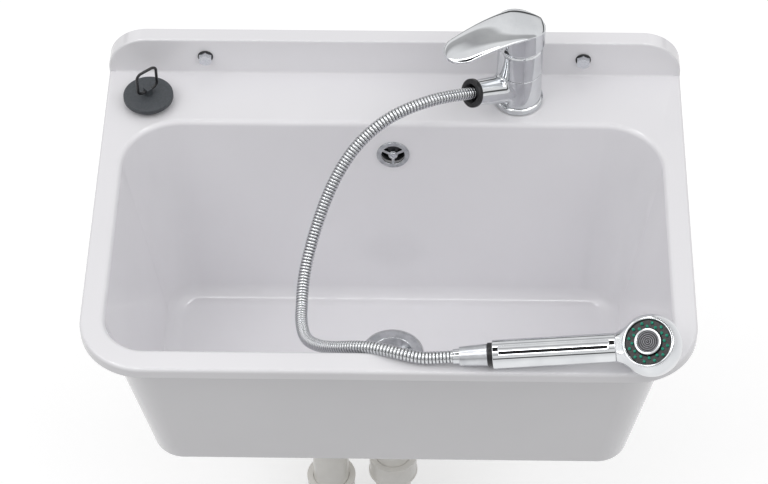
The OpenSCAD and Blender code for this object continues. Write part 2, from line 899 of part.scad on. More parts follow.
// A slip nut of height h, whose lip closes on a seal at a thread's end. flip turns its lip down.
module slip_nut(thread_end, h, flip) {
    mirror([0, 0, flip ? 1 : 0]) {
        top = (flip ? -thread_end : thread_end) + tail_seal_t + nut_lip;
        difference() {
            union() {
                translate([0, 0, top - h]) cylinder(r = slip_nut_r, h = h, $fn = round_fn);
                for (z = [top - ridge_w, top - h]) {
                    translate([0, 0, z]) cylinder(r = slip_nut_r + ridge, h = ridge_w, $fn = round_fn);
                }
            }
            translate([0, 0, top - h - cut]) cylinder(r = nut_bore_r, h = h - nut_lip + cut, $fn = round_fn);
            translate([0, 0, top - nut_lip - cut]) {
                cylinder(r = bell_r, h = nut_lip + 2 * cut, $fn = round_fn);
            }
        }
    }
}

module waste_seal() {
    color("dimgray") waste_place() {
        tube(thread_r, pipe_r + slip_gap, body_end_z - thread_len - tail_seal_t, tail_seal_t);
    }
}

module waste_nut() {
    color("white") waste_place() slip_nut(body_end_z - thread_len, waste_nut_h, true);
}

module overflow_grille() {
    color("silver") overflow_place() difference() {
        along_y(-grille_t) difference() {
            union() {
                tube(grille_r, grille_r - grille_ring_w, 0, grille_t);
                cylinder(r = hub_r, h = grille_t, $fn = small_fn);
                for (k = [0:spoke_count - 1]) rotate([0, 0, 90 + 360 * k / spoke_count]) {
                    translate([0, -spoke_w / 2, 0]) cube([grille_r - grille_ring_w / 2, spoke_w, grille_t]);
                }
            }
            translate([0, 0, -cut]) {
                cylinder(r = overflow_screw_r + slip_gap, h = grille_t + 2 * cut, $fn = small_fn);
            }
        }
    }
}

module overflow_screw() {
    color("silver") overflow_place() along_y(-grille_t) {
        cylinder(r = overflow_screw_r, h = overflow_screw_len, $fn = small_fn);
        translate([0, 0, -overflow_screw_head_h]) {
            cylinder(
                r1 = overflow_screw_head_r - overflow_screw_edge, r2 = overflow_screw_head_r,
                h = overflow_screw_head_h,
                $fn = small_fn
            );
        }
    }
}

module overflow_gasket() {
    color("dimgray") overflow_place() along_y(wall_t) {
        tube(head_r - seal_edge, overflow_hole_r + seal_edge, 0, gasket_t);
    }
}

module neck_place() {
    overflow_place() translate([0, head_y + head_d / 2, 0]) rotate([0, neck_turn, 0]) rotate([180, 0, 0]) {
        children();
    }
}

module overflow_head() {
    inner = head_r - head_t;
    color("dimgray") {
        difference() {
            union() {
                overflow_place() along_y(head_y) cylinder(r = head_r, h = head_d, $fn = round_fn);
                neck_place() cylinder(r = neck_r, h = head_r + neck_len, $fn = round_fn);
            }
            overflow_place() along_y(head_y + head_t) {
                cylinder(r = inner, h = head_d - 2 * head_t, $fn = round_fn);
            }
            overflow_place() along_y(head_y - cut) {
                cylinder(r = overflow_hole_r, h = head_t + 2 * cut, $fn = round_fn);
            }
            neck_place() cylinder(r = neck_r - neck_t, h = head_r + neck_len + cut, $fn = round_fn);
        }
        overflow_place() difference() {
            along_y(head_y) {
                cylinder(r = hub_r, h = head_d - head_t / 2, $fn = small_fn);
                for (k = [0:spoke_count - 1]) rotate([0, 0, 90 + 360 * k / spoke_count]) {
                    translate([0, -spoke_w / 2, 0]) cube([overflow_hole_r + cut, spoke_w, head_t]);
                }
            }
            along_y(head_y - cut) {
                cylinder(r = overflow_screw_r + slip_gap / 2, h = head_d - head_t, $fn = small_fn);
            }
        }
    }
}

module overflow_hose() {
    color("silver") ribbed_hose(
        overflow_route, overflow_ribs, overflow_hose_r, overflow_hose_r - overflow_valley,
        overflow_hose_r - hose_bore_gap
    );
}

module overflow_hose_seal() {
    color("gray") spigot_place() {
        tube(spigot_r + 2 * seal_edge, overflow_hose_r + fit_gap, spigot_reach, hose_seal_t);
    }
}

module overflow_hose_nut() {
    low = spigot_reach + hose_seal_t;
    nut_r = spigot_r + hose_nut_wall;
    color("white") spigot_place() difference() {
        union() {
            translate([0, 0, low]) cylinder(r = nut_r, h = hose_nut_len / 2, $fn = round_fn);
            translate([0, 0, low + hose_nut_len / 2]) {
                cylinder(
                    r1 = nut_r - hose_nut_step, r2 = overflow_hose_r + hose_nut_mouth, h = hose_nut_len / 2,
                    $fn = round_fn
                );
            }
        }
        translate([0, 0, low - cut]) {
            cylinder(r = overflow_hose_r + fit_gap, h = hose_nut_len + 2 * cut, $fn = round_fn);
        }
    }
}

// The branch leaves the tailpipe's axis to the right and rises
module branch_place() {
    translate([0, waste_y, branch_z]) rotate([0, 90 - branch_slope, 0]) children();
}

module tailpipe() {
    low = inlet_bell_z + pipe_stop;
    color("white") difference() {
        union() {
            waste_place() translate([0, 0, low]) cylinder(r = pipe_r, h = tail_top_z - low, $fn = round_fn);
            branch_place() cylinder(r = branch_r, h = branch_len, $fn = small_fn);
        }
        waste_place() translate([0, 0, low - cut]) {
            cylinder(r = pipe_in_r, h = tail_top_z - low + 2 * cut, $fn = round_fn);
        }
        branch_place() cylinder(r = branch_r - branch_t, h = branch_len + cut, $fn = small_fn);
    }
}

module branch_seal() {
    color("gray") branch_place() {
        tube(branch_r + seal_edge, branch_r - branch_t, branch_len, branch_seal_t, small_fn);
    }
}

module branch_cap() {
    straight = branch_cap_len - branch_cap_edge;
    cap_out_r = branch_r + branch_cap_wall;
    color("white") branch_place() translate([0, 0, branch_len + branch_seal_t]) difference() {
        union() {
            cylinder(r = cap_out_r, h = straight, $fn = small_fn);
            translate([0, 0, straight]) {
                cylinder(
                    r1 = cap_out_r, r2 = cap_out_r - branch_cap_edge, h = branch_cap_edge, $fn = small_fn
                );
            }
        }
        translate([0, 0, -cut]) cylinder(r = branch_r - branch_t, h = straight, $fn = small_fn);
    }
}

module inlet_seal() {
    color("dimgray") waste_place() tube(thread_r, pipe_r + slip_gap, inlet_top_z, tail_seal_t);
}

module inlet_nut() {
    color("white") waste_place() slip_nut(inlet_top_z, slip_nut_h, false);
}

module pipe_turn(r, angle) {
    rotate_extrude(angle = angle, $fn = round_fn) translate([r, 0]) difference() {
        circle(r = pipe_r, $fn = bend_fn);
        circle(r = pipe_in_r, $fn = bend_fn);
    }
}

module bell(z, h) {
    tube(thread_r, bell_r, z, h);
    tube(thread_r, pipe_in_r, z - pipe_t, pipe_t);
}

module trap_bend() {
    color("white") {
        waste_place() {
            tube(pipe_r, pipe_in_r, trap_z, inlet_leg);
            tube(pipe_r + ridge / 2, pipe_r - pipe_t / 2, trap_z, ridge_w);
            bell(inlet_bell_z, bell_len);
        }
        translate([trap_x / 2, waste_y, trap_z]) rotate([-90, 0, 0]) pipe_turn(bend_r, 180);
        translate([trap_x, waste_y, 0]) bell(outlet_bell_z + pipe_t, outlet_bell_len - pipe_t);
    }
}

module outlet_seal() {
    color("dimgray") translate([trap_x, waste_y, 0]) {
        tube(thread_r, pipe_r + slip_gap, outlet_top_z, tail_seal_t);
    }
}

module outlet_nut() {
    color("white") translate([trap_x, waste_y, 0]) slip_nut(outlet_top_z, slip_nut_h, false);
}

module outlet_pipe() {
    low = outlet_bell_z + pipe_t + pipe_stop;
    bend_z = outlet_z - elbow_r;
    run = waste_from_wall - elbow_r + outlet_in_wall;
    color("white") translate([trap_x, waste_y, 0]) {
        tube(pipe_r, pipe_in_r, low, bend_z - low);
        translate([0, elbow_r, bend_z]) rotate([90, 0, -90]) pipe_turn(elbow_r, 90);
        translate([0, 0, outlet_z]) along_y(elbow_r) difference() {
            tube(pipe_r, pipe_in_r, 0, run);
            tube(pipe_r + cut, pipe_r - mark_depth, run - outlet_in_wall - mark_w, mark_w);
        }
    }
}

module wall_rosette() {
    color("white") translate([trap_x, 0, outlet_z]) rotate([90, 0, 0]) rotate_extrude($fn = round_fn) polygon([
        [rosette_r, 0], [rosette_r, rosette_t], [rosette_r - rosette_brim, rosette_h / 2 + rosette_round],
        [pipe_r + rosette_collar, rosette_h - rosette_round], [rosette_in_r + rosette_t, rosette_h],
        [rosette_in_r, rosette_h], [rosette_in_r, rosette_h - rosette_t],
        [pipe_r + rosette_collar - rosette_round, rosette_h - rosette_round - rosette_t],
        [rosette_r - rosette_brim - rosette_round, rosette_h / 2 - rosette_round], [rosette_r - rosette_t, 0]
    ]);
}

module plug_place() {
    translate([plug_x, plug_y, 0]) rotate([0, 0, plug_turn]) children();
}

module plug() {
    color("dimgray") plug_place() translate([0, 0, plug_z]) difference() {
        union() {
            cylinder(r = plug_step_r, h = plug_step_h, $fn = round_fn);
            translate([0, 0, plug_step_h]) {
                cylinder(r = plug_r, h = plug_h - plug_step_h - plug_bevel, $fn = round_fn);
            }
            translate([0, 0, plug_h - plug_bevel]) {
                cylinder(r1 = plug_r, r2 = plug_r - plug_bevel, h = plug_bevel, $fn = round_fn);
            }
            translate([-post_w / 2, -post_d / 2, plug_h - cut]) cube([post_w, post_d, post_h + cut]);
        }
        translate([-post_w, 0, bail_z - plug_z]) rotate([0, 90, 0]) {
            cylinder(r = bail_wire_r + pin_gap, h = 2 * post_w, $fn = small_fn);
        }
    }
}

module plug_bail() {
    x = bail_w / 2 - bail_corner_r;
    z = bail_h - 2 * bail_corner_r;
    color("black") plug_place() translate([0, 0, bail_z]) {
        for (side = [0, 1]) {
            translate([-x, 0, side * bail_h]) rotate([0, 90, 0]) {
                cylinder(r = bail_wire_r, h = 2 * x, $fn = small_fn);
            }
            translate([(2 * side - 1) * bail_w / 2, 0, bail_corner_r]) {
                cylinder(r = bail_wire_r, h = z, $fn = small_fn);
            }
        }
        for (corner = [0:3]) {
            sx = corner == 0 || corner == 3 ? 1 : -1;
            sz = corner < 2 ? 1 : 0;
            translate([sx * x, 0, bail_corner_r + sz * z]) rotate([90, 0, 0]) {
                rotate([0, 0, 90 * corner]) rotate_extrude(angle = 90, $fn = round_fn) {
                    translate([bail_corner_r, 0]) circle(r = bail_wire_r, $fn = 24);
                }
            }
        }
    }
}

// In this frame z is the height above the ledge and +X runs along the spout and lever
module tap_place() {
    translate([tap_x, tap_y, rim_z]) rotate([0, 0, tap_dir]) children();
}

module tap_base_gasket() {
    color("black") tap_place() tube(base_ring_r - 2 * seal_edge, shank_r + slip_gap, 0, base_gasket_t);
}

module tap_base_ring() {
    color("silver") tap_place() difference() {
        union() {
            translate([0, 0, base_gasket_t]) {
                cylinder(r = base_ring_r, h = base_h - base_gasket_t - base_bevel, $fn = round_fn);
            }
            translate([0, 0, base_h - base_bevel]) {
                cylinder(r1 = base_ring_r, r2 = tap_r, h = base_bevel, $fn = round_fn);
            }
        }
        cylinder(r = column_r + slip_gap, h = base_h + cut, $fn = round_fn);
    }
}

module tap_column() {
    color("goldenrod") tap_place() difference() {
        union() {
            translate([0, 0, -shank_len]) cylinder(r = shank_r, h = shank_len + web_low, $fn = round_fn);
            translate([0, 0, base_gasket_t]) {
                cylinder(r = column_r, h = housing_z - base_gasket_t, $fn = round_fn);
            }
            translate([0, 0, housing_z - cut]) {
                cylinder(r = neck_thread_r, h = neck_thread_h + cut - neck_end_gap, $fn = round_fn);
            }
        }
        translate([0, 0, -shank_len - cut]) {
            cylinder(r = shank_in_r, h = shank_len + web_low + cut, $fn = round_fn);
        }
        translate([0, 0, web_high]) cylinder(r = chamber_r, h = window_high - web_high + 2, $fn = round_fn);
        for (side = [-1, 1]) translate([inlet_back, side * inlet_spread, 0]) {
            cylinder(r = inlet_r, h = web_high + cut, $fn = small_fn);
        }
        translate([hose_pass_y, 0, 0]) cylinder(r = hose_pass_r, h = web_high + cut, $fn = small_fn);
        translate([0, 0, window_low]) rotate([0, 0, window_from]) {
            rotate_extrude(angle = window_sweep, $fn = round_fn) {
                translate([chamber_r - cut, 0]) {
                    square([column_r - chamber_r + 2 * cut, window_high - window_low]);
                }
            }
        }
        for (z = [o_ring_low, o_ring_high]) {
            tube(column_r + cut, column_r - o_ring_depth, z - o_ring_h / 2, o_ring_h);
        }
    }
}

module spout_seals() {
    color("black") tap_place() for (z = [o_ring_low, o_ring_high]) {
        tube(
            column_r, column_r - o_ring_depth + o_ring_gap / 2, z - o_ring_h / 2 + o_ring_gap,
            o_ring_h - 2 * o_ring_gap
        );
    }
}

// The spout's own axis is +Z here
module spout_axis() {
    translate([0, 0, spout_z]) rotate([0, 90 - spout_rise, 0]) children();
}

module spout_body() {
    color("silver") tap_place() difference() {
        union() {
            translate([0, 0, spout_bottom]) cylinder(r = tap_r, h = spout_top - spout_bottom, $fn = round_fn);
            spout_axis() cylinder(r1 = spout_root_r, r2 = spout_r, h = spout_len, $fn = round_fn);
        }
        cylinder(r = spout_bore_r, h = housing_z, $fn = round_fn);
        spout_axis() cylinder(r = spout_bore, h = spout_len + cut, $fn = small_fn);
        spout_axis() translate([0, 0, spout_len - socket_neck_len - fit_gap]) {
            cylinder(r = socket_neck_r + slip_gap, h = socket_neck_len + cut, $fn = round_fn);
        }
    }
}

module spout_socket() {
    color("black") tap_place() spout_axis() difference() {
        union() {
            translate([0, 0, spout_len - socket_neck_len]) {
                cylinder(r = socket_neck_r, h = socket_neck_len + cut, $fn = round_fn);
            }
            translate([0, 0, spout_len]) cylinder(r = socket_r, h = socket_len - socket_edge, $fn = round_fn);
            translate([0, 0, spout_len + socket_len - socket_edge]) {
                cylinder(r1 = socket_r, r2 = socket_r - socket_edge, h = socket_edge, $fn = round_fn);
            }
        }
        translate([0, 0, spout_len - socket_neck_len - cut]) {
            cylinder(r = socket_in_r, h = socket_neck_len + socket_len + 2 * cut, $fn = small_fn);
        }
        translate([0, 0, spout_len]) {
            cylinder(r1 = socket_in_r, r2 = funnel_r, h = socket_len + 0.01, $fn = small_fn);
        }
    }
}

module cartridge_housing() {
    edge_z = housing_top - housing_edge;
    color("silver") tap_place() difference() {
        union() {
            translate([0, 0, housing_z]) {
                cylinder(r = tap_r, h = housing_h - housing_edge, $fn = round_fn);
            }
            translate([0, 0, edge_z]) {
                cylinder(r1 = tap_r, r2 = tap_r - housing_edge_in, h = housing_edge, $fn = round_fn);
            }
        }
        translate([0, 0, housing_z - cut]) {
            cylinder(r = neck_thread_r + slip_gap, h = housing_floor + 2 * cut, $fn = round_fn);
        }
        translate([0, 0, cartridge_low]) cylinder(r = cartridge_r + slip_gap, h = housing_h, $fn = round_fn);
        translate([0, 0, cartridge_top]) cylinder(r = nut_seat_r, h = housing_h, $fn = round_fn);
    }
}

module cartridge() {
    chamber_top = cartridge_low + disc_chamber_h;
    color("whitesmoke") tap_place() difference() {
        translate([0, 0, cartridge_low]) {
            cylinder(r = cartridge_r, h = cartridge_top - cartridge_low, $fn = round_fn);
        }
        translate([0, 0, cartridge_low - cut]) {
            cylinder(r = disc_chamber_r, h = disc_chamber_h + cut, $fn = round_fn);
        }
        translate([0, 0, chamber_top - cut]) {
            cylinder(r = turret_r + pin_gap, h = housing_h, $fn = round_fn);
        }
    }
}

module fixed_disc() {
    color("ivory") tap_place() difference() {
        translate([0, 0, cartridge_low]) {
            cylinder(r = disc_chamber_r - slip_gap, h = disc_chamber_h / 2, $fn = round_fn);
        }
        for (side = [-1, 1]) translate([-port_back, side * port_spread, cartridge_low - cut]) {
            cylinder(r = port_r, h = disc_chamber_h, $fn = small_fn);
        }
        translate([mix_port_at, 0, cartridge_low - cut]) {
            cylinder(r = mix_port_r, h = disc_chamber_h, $fn = small_fn);
        }
    }
}

module moving_disc() {
    low = cartridge_low + disc_chamber_h / 2 + slip_gap / 2;
    color("lightgray") tap_place() difference() {
        translate([0, 0, low]) {
            cylinder(r = disc_chamber_r - moving_disc_in, h = disc_chamber_h / 2 - slip_gap, $fn = round_fn);
        }
        translate([0, 0, low - cut]) {
            cylinder(r = moving_hollow_r, h = disc_chamber_h / 4 + cut, $fn = small_fn);
        }
    }
}

module cartridge_turret() {
    low = cartridge_low + disc_chamber_h + slip_gap / 2;
    slot_low = pivot_z - stem_w / 2 - seam;
    color("gray") tap_place() difference() {
        translate([0, 0, low]) {
            cylinder(r = turret_r, h = cartridge_top + turret_rise - low, $fn = round_fn);
        }
        translate([-2 * turret_r, -stem_w / 2 - slip_gap, slot_low]) {
            cube([4 * turret_r, stem_w + 2 * slip_gap, housing_h]);
        }
        translate([0, 2 * turret_r, pivot_z]) rotate([90, 0, 0]) {
            cylinder(r = turret_pin_r + press_gap, h = 4 * turret_r, $fn = small_fn);
        }
    }
}

module turret_pin() {
    color("silver") tap_place() translate([0, turret_pin_len / 2, pivot_z]) rotate([90, 0, 0]) {
        cylinder(r = turret_pin_r, h = turret_pin_len, $fn = small_fn);
    }
}

module cartridge_nut() {
    color("goldenrod") tap_place() {
        tube(nut_seat_r - slip_gap, cartridge_nut_in_r, cartridge_top, cartridge_nut_h);
    }
}

module lever_stem() {
    color("silver") tap_place() difference() {
        union() {
            translate([-stem_w / 2, -stem_w / 2, pivot_z]) cube([stem_w, stem_w, stem_top - pivot_z]);
            translate([0, stem_w / 2, pivot_z]) rotate([90, 0, 0]) {
                cylinder(r = stem_w / 2, h = stem_w, $fn = small_fn);
            }
        }
        translate([0, stem_w, pivot_z]) rotate([90, 0, 0]) {
            cylinder(r = turret_pin_r + pin_gap, h = 2 * stem_w, $fn = small_fn);
        }
    }
}

// Height of the lever's top, height of its underside and half its width along it
lever_top = 34;
lever_rise = 12;
arch_at = 45;
tip_at = 72;
tip_half = blade_w / 2 - 1;
function blade_top(x) =
    lever_z + lever_top - (x < arch_at ? lever_rise * pow((arch_at - x) / (arch_at + cap_r), 2)
        : tip_drop * pow((x - arch_at) / (lever_reach - arch_at), 2));
function blade_low(x) = blade_top(x) - blade_t * (1 - 0.35 * max(x, 0) / lever_reach);
function blade_half(x) =
    x < 4 ? sqrt(max(pow(cap_r - 0.2, 2) - x * x, 1))
    : x < tip_at ? cap_r - 0.5 - (cap_r - 0.5 - tip_half) * (x - 4) / (tip_at - 4)
    : tip_half * sqrt(max(1 - pow((x - tip_at) / (lever_reach - tip_at), 2), 0.01));
blade_points = 32;
function power_round(v, k) = sign(v) * pow(abs(v), k);
function blade_ring(x) =
    let (top = blade_top(x), low = blade_low(x), half = blade_half(x))
    [
        for (i = [0:blade_points - 1])
            let (a = 360 * i / blade_points)
            [
                x,
                half * power_round(cos(a), 0.6),
                (top + low) / 2 + (top - low) / 2 * power_round(sin(a), 0.8)
            ]
    ];
blade_stations = [
    -24.3, -23, -20, -15, -8, 0, 4, 10, 16, 22, 28, 34, 40, 46, 52, 58, 65,
    tip_at, tip_at + 5, tip_at + 10, tip_at + 14, tip_at + 17, lever_reach - 1.2, lever_reach - 0.3
];

module grub_hole() {
    translate([0, 0, grub_z]) rotate([0, 90, 0]) {
        cylinder(r = grub_r + slip_gap, h = cap_r + cut, $fn = small_fn);
    }
}

// The cap is a cylinder cut off below the arch, with a bevel round its lower back edge
module lever_cap() {
    intersection() {
        union() {
            translate([0, 0, lever_z]) {
                cylinder(r1 = cap_r - cap_bevel_in, r2 = cap_r, h = cap_bevel, $fn = round_fn);
            }
            translate([0, 0, lever_z + cap_bevel]) cylinder(r = cap_r, h = lever_top, $fn = round_fn);
        }
        translate([0, cap_r + cut, 0]) rotate([90, 0, 0]) linear_extrude(2 * (cap_r + cut)) polygon([
            [cap_r + cut, lever_z - cut],
            for (i = [16:-1:0]) let (x = (cap_r + cut) * (i / 8 - 1)) [x, blade_top(x) - cap_below_blade],
            [-cap_r - cut, lever_z - cut]
        ]);
    }
}

module lever_skin() {
    mid_back = (blade_top(-cap_r) + blade_low(-cap_r)) / 2;
    mid_tip = (blade_top(lever_reach) + blade_low(lever_reach)) / 2;
    skin(
        [-cap_r + 0.3, 0, mid_back],
        [for (x = blade_stations) blade_ring(x)],
        [lever_reach, 0, mid_tip]
    );
}

module lever() {
    block_h = lever_z + cap_h - cap_roof - socket_block_z;
    color("silver") tap_place() {
        difference() {
            union() {
                lever_cap();
                lever_skin();
            }
            translate([0, 0, lever_z - cut]) cylinder(r = cap_in_r, h = cap_h - cap_roof, $fn = round_fn);
            grub_hole();
        }
        difference() {
            union() {
                translate([0, 0, socket_block_z]) cylinder(r = socket_block_r, h = block_h, $fn = small_fn);
                translate([0, -stem_w / 2, socket_block_z]) cube([cap_in_r + 0.4, stem_w, block_h]);
            }
            translate([-stem_w / 2 - slip_gap, -stem_w / 2 - slip_gap, socket_block_z - cut]) {
                cube([
                    stem_w + 2 * slip_gap, stem_w + 2 * slip_gap, stem_top - socket_block_z + cut + slip_gap
                ]);
            }
            grub_hole();
        }
    }
}

module lever_screw() {
    color("dimgray") tap_place() translate([stem_w / 2 + slip_gap, 0, grub_z]) rotate([0, 90, 0]) {
        cylinder(r = grub_r, h = grub_len, $fn = small_fn);
    }
}

module shank_washer() {
    color("black") tap_place() tube(shank_washer_r, tap_hole_r, -wall_t - shank_washer_t, shank_washer_t);
}

module shank_plate() {
    color("silver") tap_place() {
        tube(shank_washer_r, tap_hole_r, -wall_t - shank_washer_t - shank_plate_t, shank_plate_t);
    }
}

module back_nut() {
    low = -wall_t - shank_washer_t - shank_plate_t - back_nut_h;
    color("goldenrod") tap_place() translate([0, 0, low]) difference() {
        cylinder(r = back_nut_af / 2 / cos(30), h = back_nut_h, $fn = 6);
        translate([0, 0, -cut]) cylinder(r = shank_r + slip_gap, h = back_nut_h + 2 * cut, $fn = round_fn);
    }
}

module steel_hose(route, ribs) {
    color("silver") ribbed_hose(route, ribs, hose_r, hose_r - hose_valley, hose_r - hose_wall);
}

module spray_hose_upper() {
    steel_hose(upper_route, upper_ribs);
}

module spray_hose_lower() {
    steel_hose(lower_route, lower_ribs);
}

module spray_place() {
    translate([spray_x, spray_y, spray_z]) rotate([-spray_roll, spray_tilt, 180]) children();
}

// Along the handle, with z as the distance from the head's centre
module along_grip(x) {
    translate([x, 0, 0]) rotate([0, 90, 0]) children();
}

module hose_ferrule() {
    end = grip_end + ring_len + nut_len + ferrule_show;
    color("silver") spray_place() along_grip(0) {
        tube(ferrule_r, ferrule_in_r, end - ferrule_len, ferrule_len, small_fn);
    }
}

module hose_cone_nut() {
    low = grip_end + ring_len;
    color("silver") spray_place() along_grip(low) difference() {
        cylinder(r1 = nut_r_big, r2 = nut_r_small, h = nut_len, $fn = round_fn);
        translate([0, 0, -cut]) {
            cylinder(r = tail_r + slip_gap, h = tail_len - ring_len + 2 * cut, $fn = small_fn);
        }
        cylinder(r = ferrule_r + slip_gap, h = nut_len + cut, $fn = small_fn);
    }
}

module swivel_ring() {
    color("black") spray_place() along_grip(0) {
        tube(ring_r, tail_r + slip_gap, grip_end + seam / 2, ring_len - seam);
    }
}

module spray_handle() {
    low = neck_reach + seam;
    recess_len = grip_end - low - 2 * recess_margin - recess_w;
    color("silver") spray_place() difference() {
        union() {
            along_grip(low) cylinder(r = grip_r, h = grip_end - low, $fn = round_fn);
            along_grip(grip_end - cut) cylinder(r = tail_r, h = tail_len + cut, $fn = small_fn);
        }
        along_grip(low + grip_t) {
            cylinder(r = grip_r - grip_t, h = grip_end - low - 2 * grip_t, $fn = round_fn);
        }
        along_grip(low - cut) {
            cylinder(r = tail_r - tail_t, h = grip_end - low + tail_len + 2 * cut, $fn = small_fn);
        }
        translate([low + recess_margin + recess_w / 2, 0, grip_r - recess_cut]) {
            for (x = [0, recess_len]) translate([x, 0, 0]) {
                cylinder(r = recess_w / 2, h = grip_r, $fn = small_fn);
            }
            translate([0, -recess_w / 2, 0]) cube([recess_len, recess_w, grip_r]);
        }
    }
}

module face_place() {
    spray_place() rotate([0, face_lean, 0]) children();
}

module spray_head() {
    color("silver") difference() {
        union() {
            spray_place() sphere(r = ball_r, $fn = round_fn);
            spray_place() along_grip(neck_root) {
                cylinder(r1 = neck_root_r, r2 = grip_r, h = neck_reach - neck_root, $fn = round_fn);
            }
        }
        spray_place() sphere(r = ball_r - ball_t, $fn = round_fn);
        spray_place() along_grip(0) cylinder(r = tail_r - tail_t, h = neck_reach + cut, $fn = small_fn);
        face_place() translate([0, 0, face_z]) cylinder(r = 2 * ball_r, h = ball_r, $fn = round_fn);
        face_place() translate([0, 0, face_z - bezel_t - slip_gap]) {
            cylinder(r = sleeve_r + slip_gap, h = 2 * bezel_t, $fn = round_fn);
        }
    }
}

module face_bezel() {
    in_r = sleeve_r - sleeve_t;
    color("silver") face_place() {
        tube(sleeve_r, in_r, face_z - bezel_t, bezel_t + bezel_rise);
        difference() {
            translate([0, 0, face_z]) cylinder(r1 = bezel_r, r2 = sleeve_r, h = bezel_rise, $fn = round_fn);
            cylinder(r = sleeve_r - sleeve_t / 2, h = 2 * face_z, $fn = round_fn);
        }
    }
}

module nozzle_plate() {
    color("black") face_place() {
        tube(sleeve_r - sleeve_t - slip_gap, plate_hole_r, plate_z - plate_t, plate_t);
    }
}

module spray_nozzles() {
    color("seagreen") face_place() for (row = [0, 1]) for (k = [0:nozzles_per_row - 1]) {
        rotate([0, 0, 360 * (k + row / 2) / nozzles_per_row]) {
            translate([row == 0 ? nozzle_row_in : nozzle_row_out, 0, plate_z]) {
                cylinder(r1 = nozzle_r, r2 = nozzle_r * nozzle_tip, h = nozzle_h, $fn = 24);
            }
        }
    }
}

module aerator_collar() {
    low = plate_z - plate_t - slip_gap - collar_foot_t;
    color("silver") face_place() {
        tube(aerator_r, aerator_r - aerator_w, low, plate_z + aerator_rise - low);
        tube(aerator_r + collar_foot, aerator_r - aerator_w / 2, low, collar_foot_t);
    }
}

module aerator_mesh() {
    top = plate_z + aerator_rise - mesh_sunk;
    color("dimgray") face_place() difference() {
        translate([0, 0, top - mesh_t]) cylinder(r = aerator_r - aerator_w, h = mesh_t, $fn = round_fn);
        for (r = [mesh_first_r:mesh_ring_step:mesh_last_r]) {
            tube(r + mesh_ring_w / 2, r - mesh_ring_w / 2, top - mesh_groove, mesh_t, small_fn);
        }
    }
}

sink_shell();
wall_screws();
screw_washers();
waste_flange();
flange_seal();
waste_screw();
waste_gasket();
waste_body();
waste_seal();
waste_nut();
overflow_grille();
overflow_screw();
overflow_gasket();
overflow_head();
overflow_hose();
overflow_hose_seal();
overflow_hose_nut();
tailpipe();
branch_seal();
branch_cap();
inlet_seal();
inlet_nut();
trap_bend();
outlet_seal();
outlet_nut();
outlet_pipe();
wall_rosette();
plug();
plug_bail();
tap_base_gasket();
tap_base_ring();
tap_column();
spout_seals();
spout_body();
spout_socket();
cartridge_housing();
cartridge();
fixed_disc();
moving_disc();
cartridge_turret();
turret_pin();
cartridge_nut();
lever_stem();
lever();
lever_screw();
shank_washer();
shank_plate();
back_nut();
spray_hose_upper();
spray_hose_lower();
hose_ferrule();
hose_cone_nut();
swivel_ring();
spray_handle();
spray_head();
face_bezel();
nozzle_plate();
spray_nozzles();
aerator_collar();
aerator_mesh();
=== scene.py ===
import math

import bmesh
import bpy
from mathutils import Matrix, Vector


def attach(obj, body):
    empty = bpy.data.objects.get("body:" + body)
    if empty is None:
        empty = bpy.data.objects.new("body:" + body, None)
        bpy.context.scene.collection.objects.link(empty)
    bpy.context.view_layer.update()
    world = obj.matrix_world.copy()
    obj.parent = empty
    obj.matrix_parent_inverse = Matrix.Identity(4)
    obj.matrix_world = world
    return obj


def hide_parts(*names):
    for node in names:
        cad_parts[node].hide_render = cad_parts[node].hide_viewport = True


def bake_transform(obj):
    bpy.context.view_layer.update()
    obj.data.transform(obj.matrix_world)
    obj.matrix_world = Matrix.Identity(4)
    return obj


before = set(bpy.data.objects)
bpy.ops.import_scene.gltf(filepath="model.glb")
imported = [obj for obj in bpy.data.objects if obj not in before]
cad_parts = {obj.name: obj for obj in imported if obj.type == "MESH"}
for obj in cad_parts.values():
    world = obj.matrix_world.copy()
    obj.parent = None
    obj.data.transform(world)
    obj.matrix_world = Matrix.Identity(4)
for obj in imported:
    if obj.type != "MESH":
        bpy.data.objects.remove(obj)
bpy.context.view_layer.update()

# Camera. The catalogue picture looks down on the sink from the front, a little from the left,
# with a long lens. Its place was fitted to the sink's rim, opening, drain and wall screws.
picture_width = 768
camera_distance_px = 2781
camera_at = Vector((0.045, -2.105, 2.032))
camera_down, camera_turn, camera_roll = (math.radians(a) for a in (48.0, -1.58, -0.61))

look = Vector((
    math.sin(camera_turn) * math.cos(camera_down),
    math.cos(camera_turn) * math.cos(camera_down),
    -math.sin(camera_down),
))
level = Vector((math.cos(camera_turn), -math.sin(camera_turn), 0))
upward = level.cross(look)
rolled_right = math.cos(camera_roll) * level + math.sin(camera_roll) * upward
rolled_up = math.cos(camera_roll) * upward - math.sin(camera_roll) * level

camera_data = bpy.data.cameras.new("camera")
camera_data.sensor_width = 36
camera_data.lens = 36 * camera_distance_px / picture_width
camera_data.clip_end = 100
camera = bpy.data.objects.new("camera", camera_data)
camera.matrix_world = Matrix.Translation(camera_at) @ Matrix(
    (rolled_right, rolled_up, -look)
).transposed().to_4x4()
bpy.context.scene.collection.objects.link(camera)
bpy.context.scene.camera = camera


# Pull-out hose. A strip of stainless steel is wound into a hose 12.5 mm thick, with a ring
# every 3.4 mm. It leaves the spout, hangs into the bowl and rises to the hand spray.
MM = 0.001


def linear(colour):
    """An sRGB hex colour as the linear colour that a shader takes."""
    parts = [int(colour[i : i + 2], 16) / 255 for i in (0, 2, 4)]
    return tuple(c / 12.92 if c <= 0.04045 else ((c + 0.055) / 1.055) ** 2.4 for c in parts) + (1,)


def new_finish(name):
    """An empty node material."""
    finish = bpy.data.materials.new(name)
    finish.use_nodes = True
    finish.node_tree.nodes.clear()
    return finish


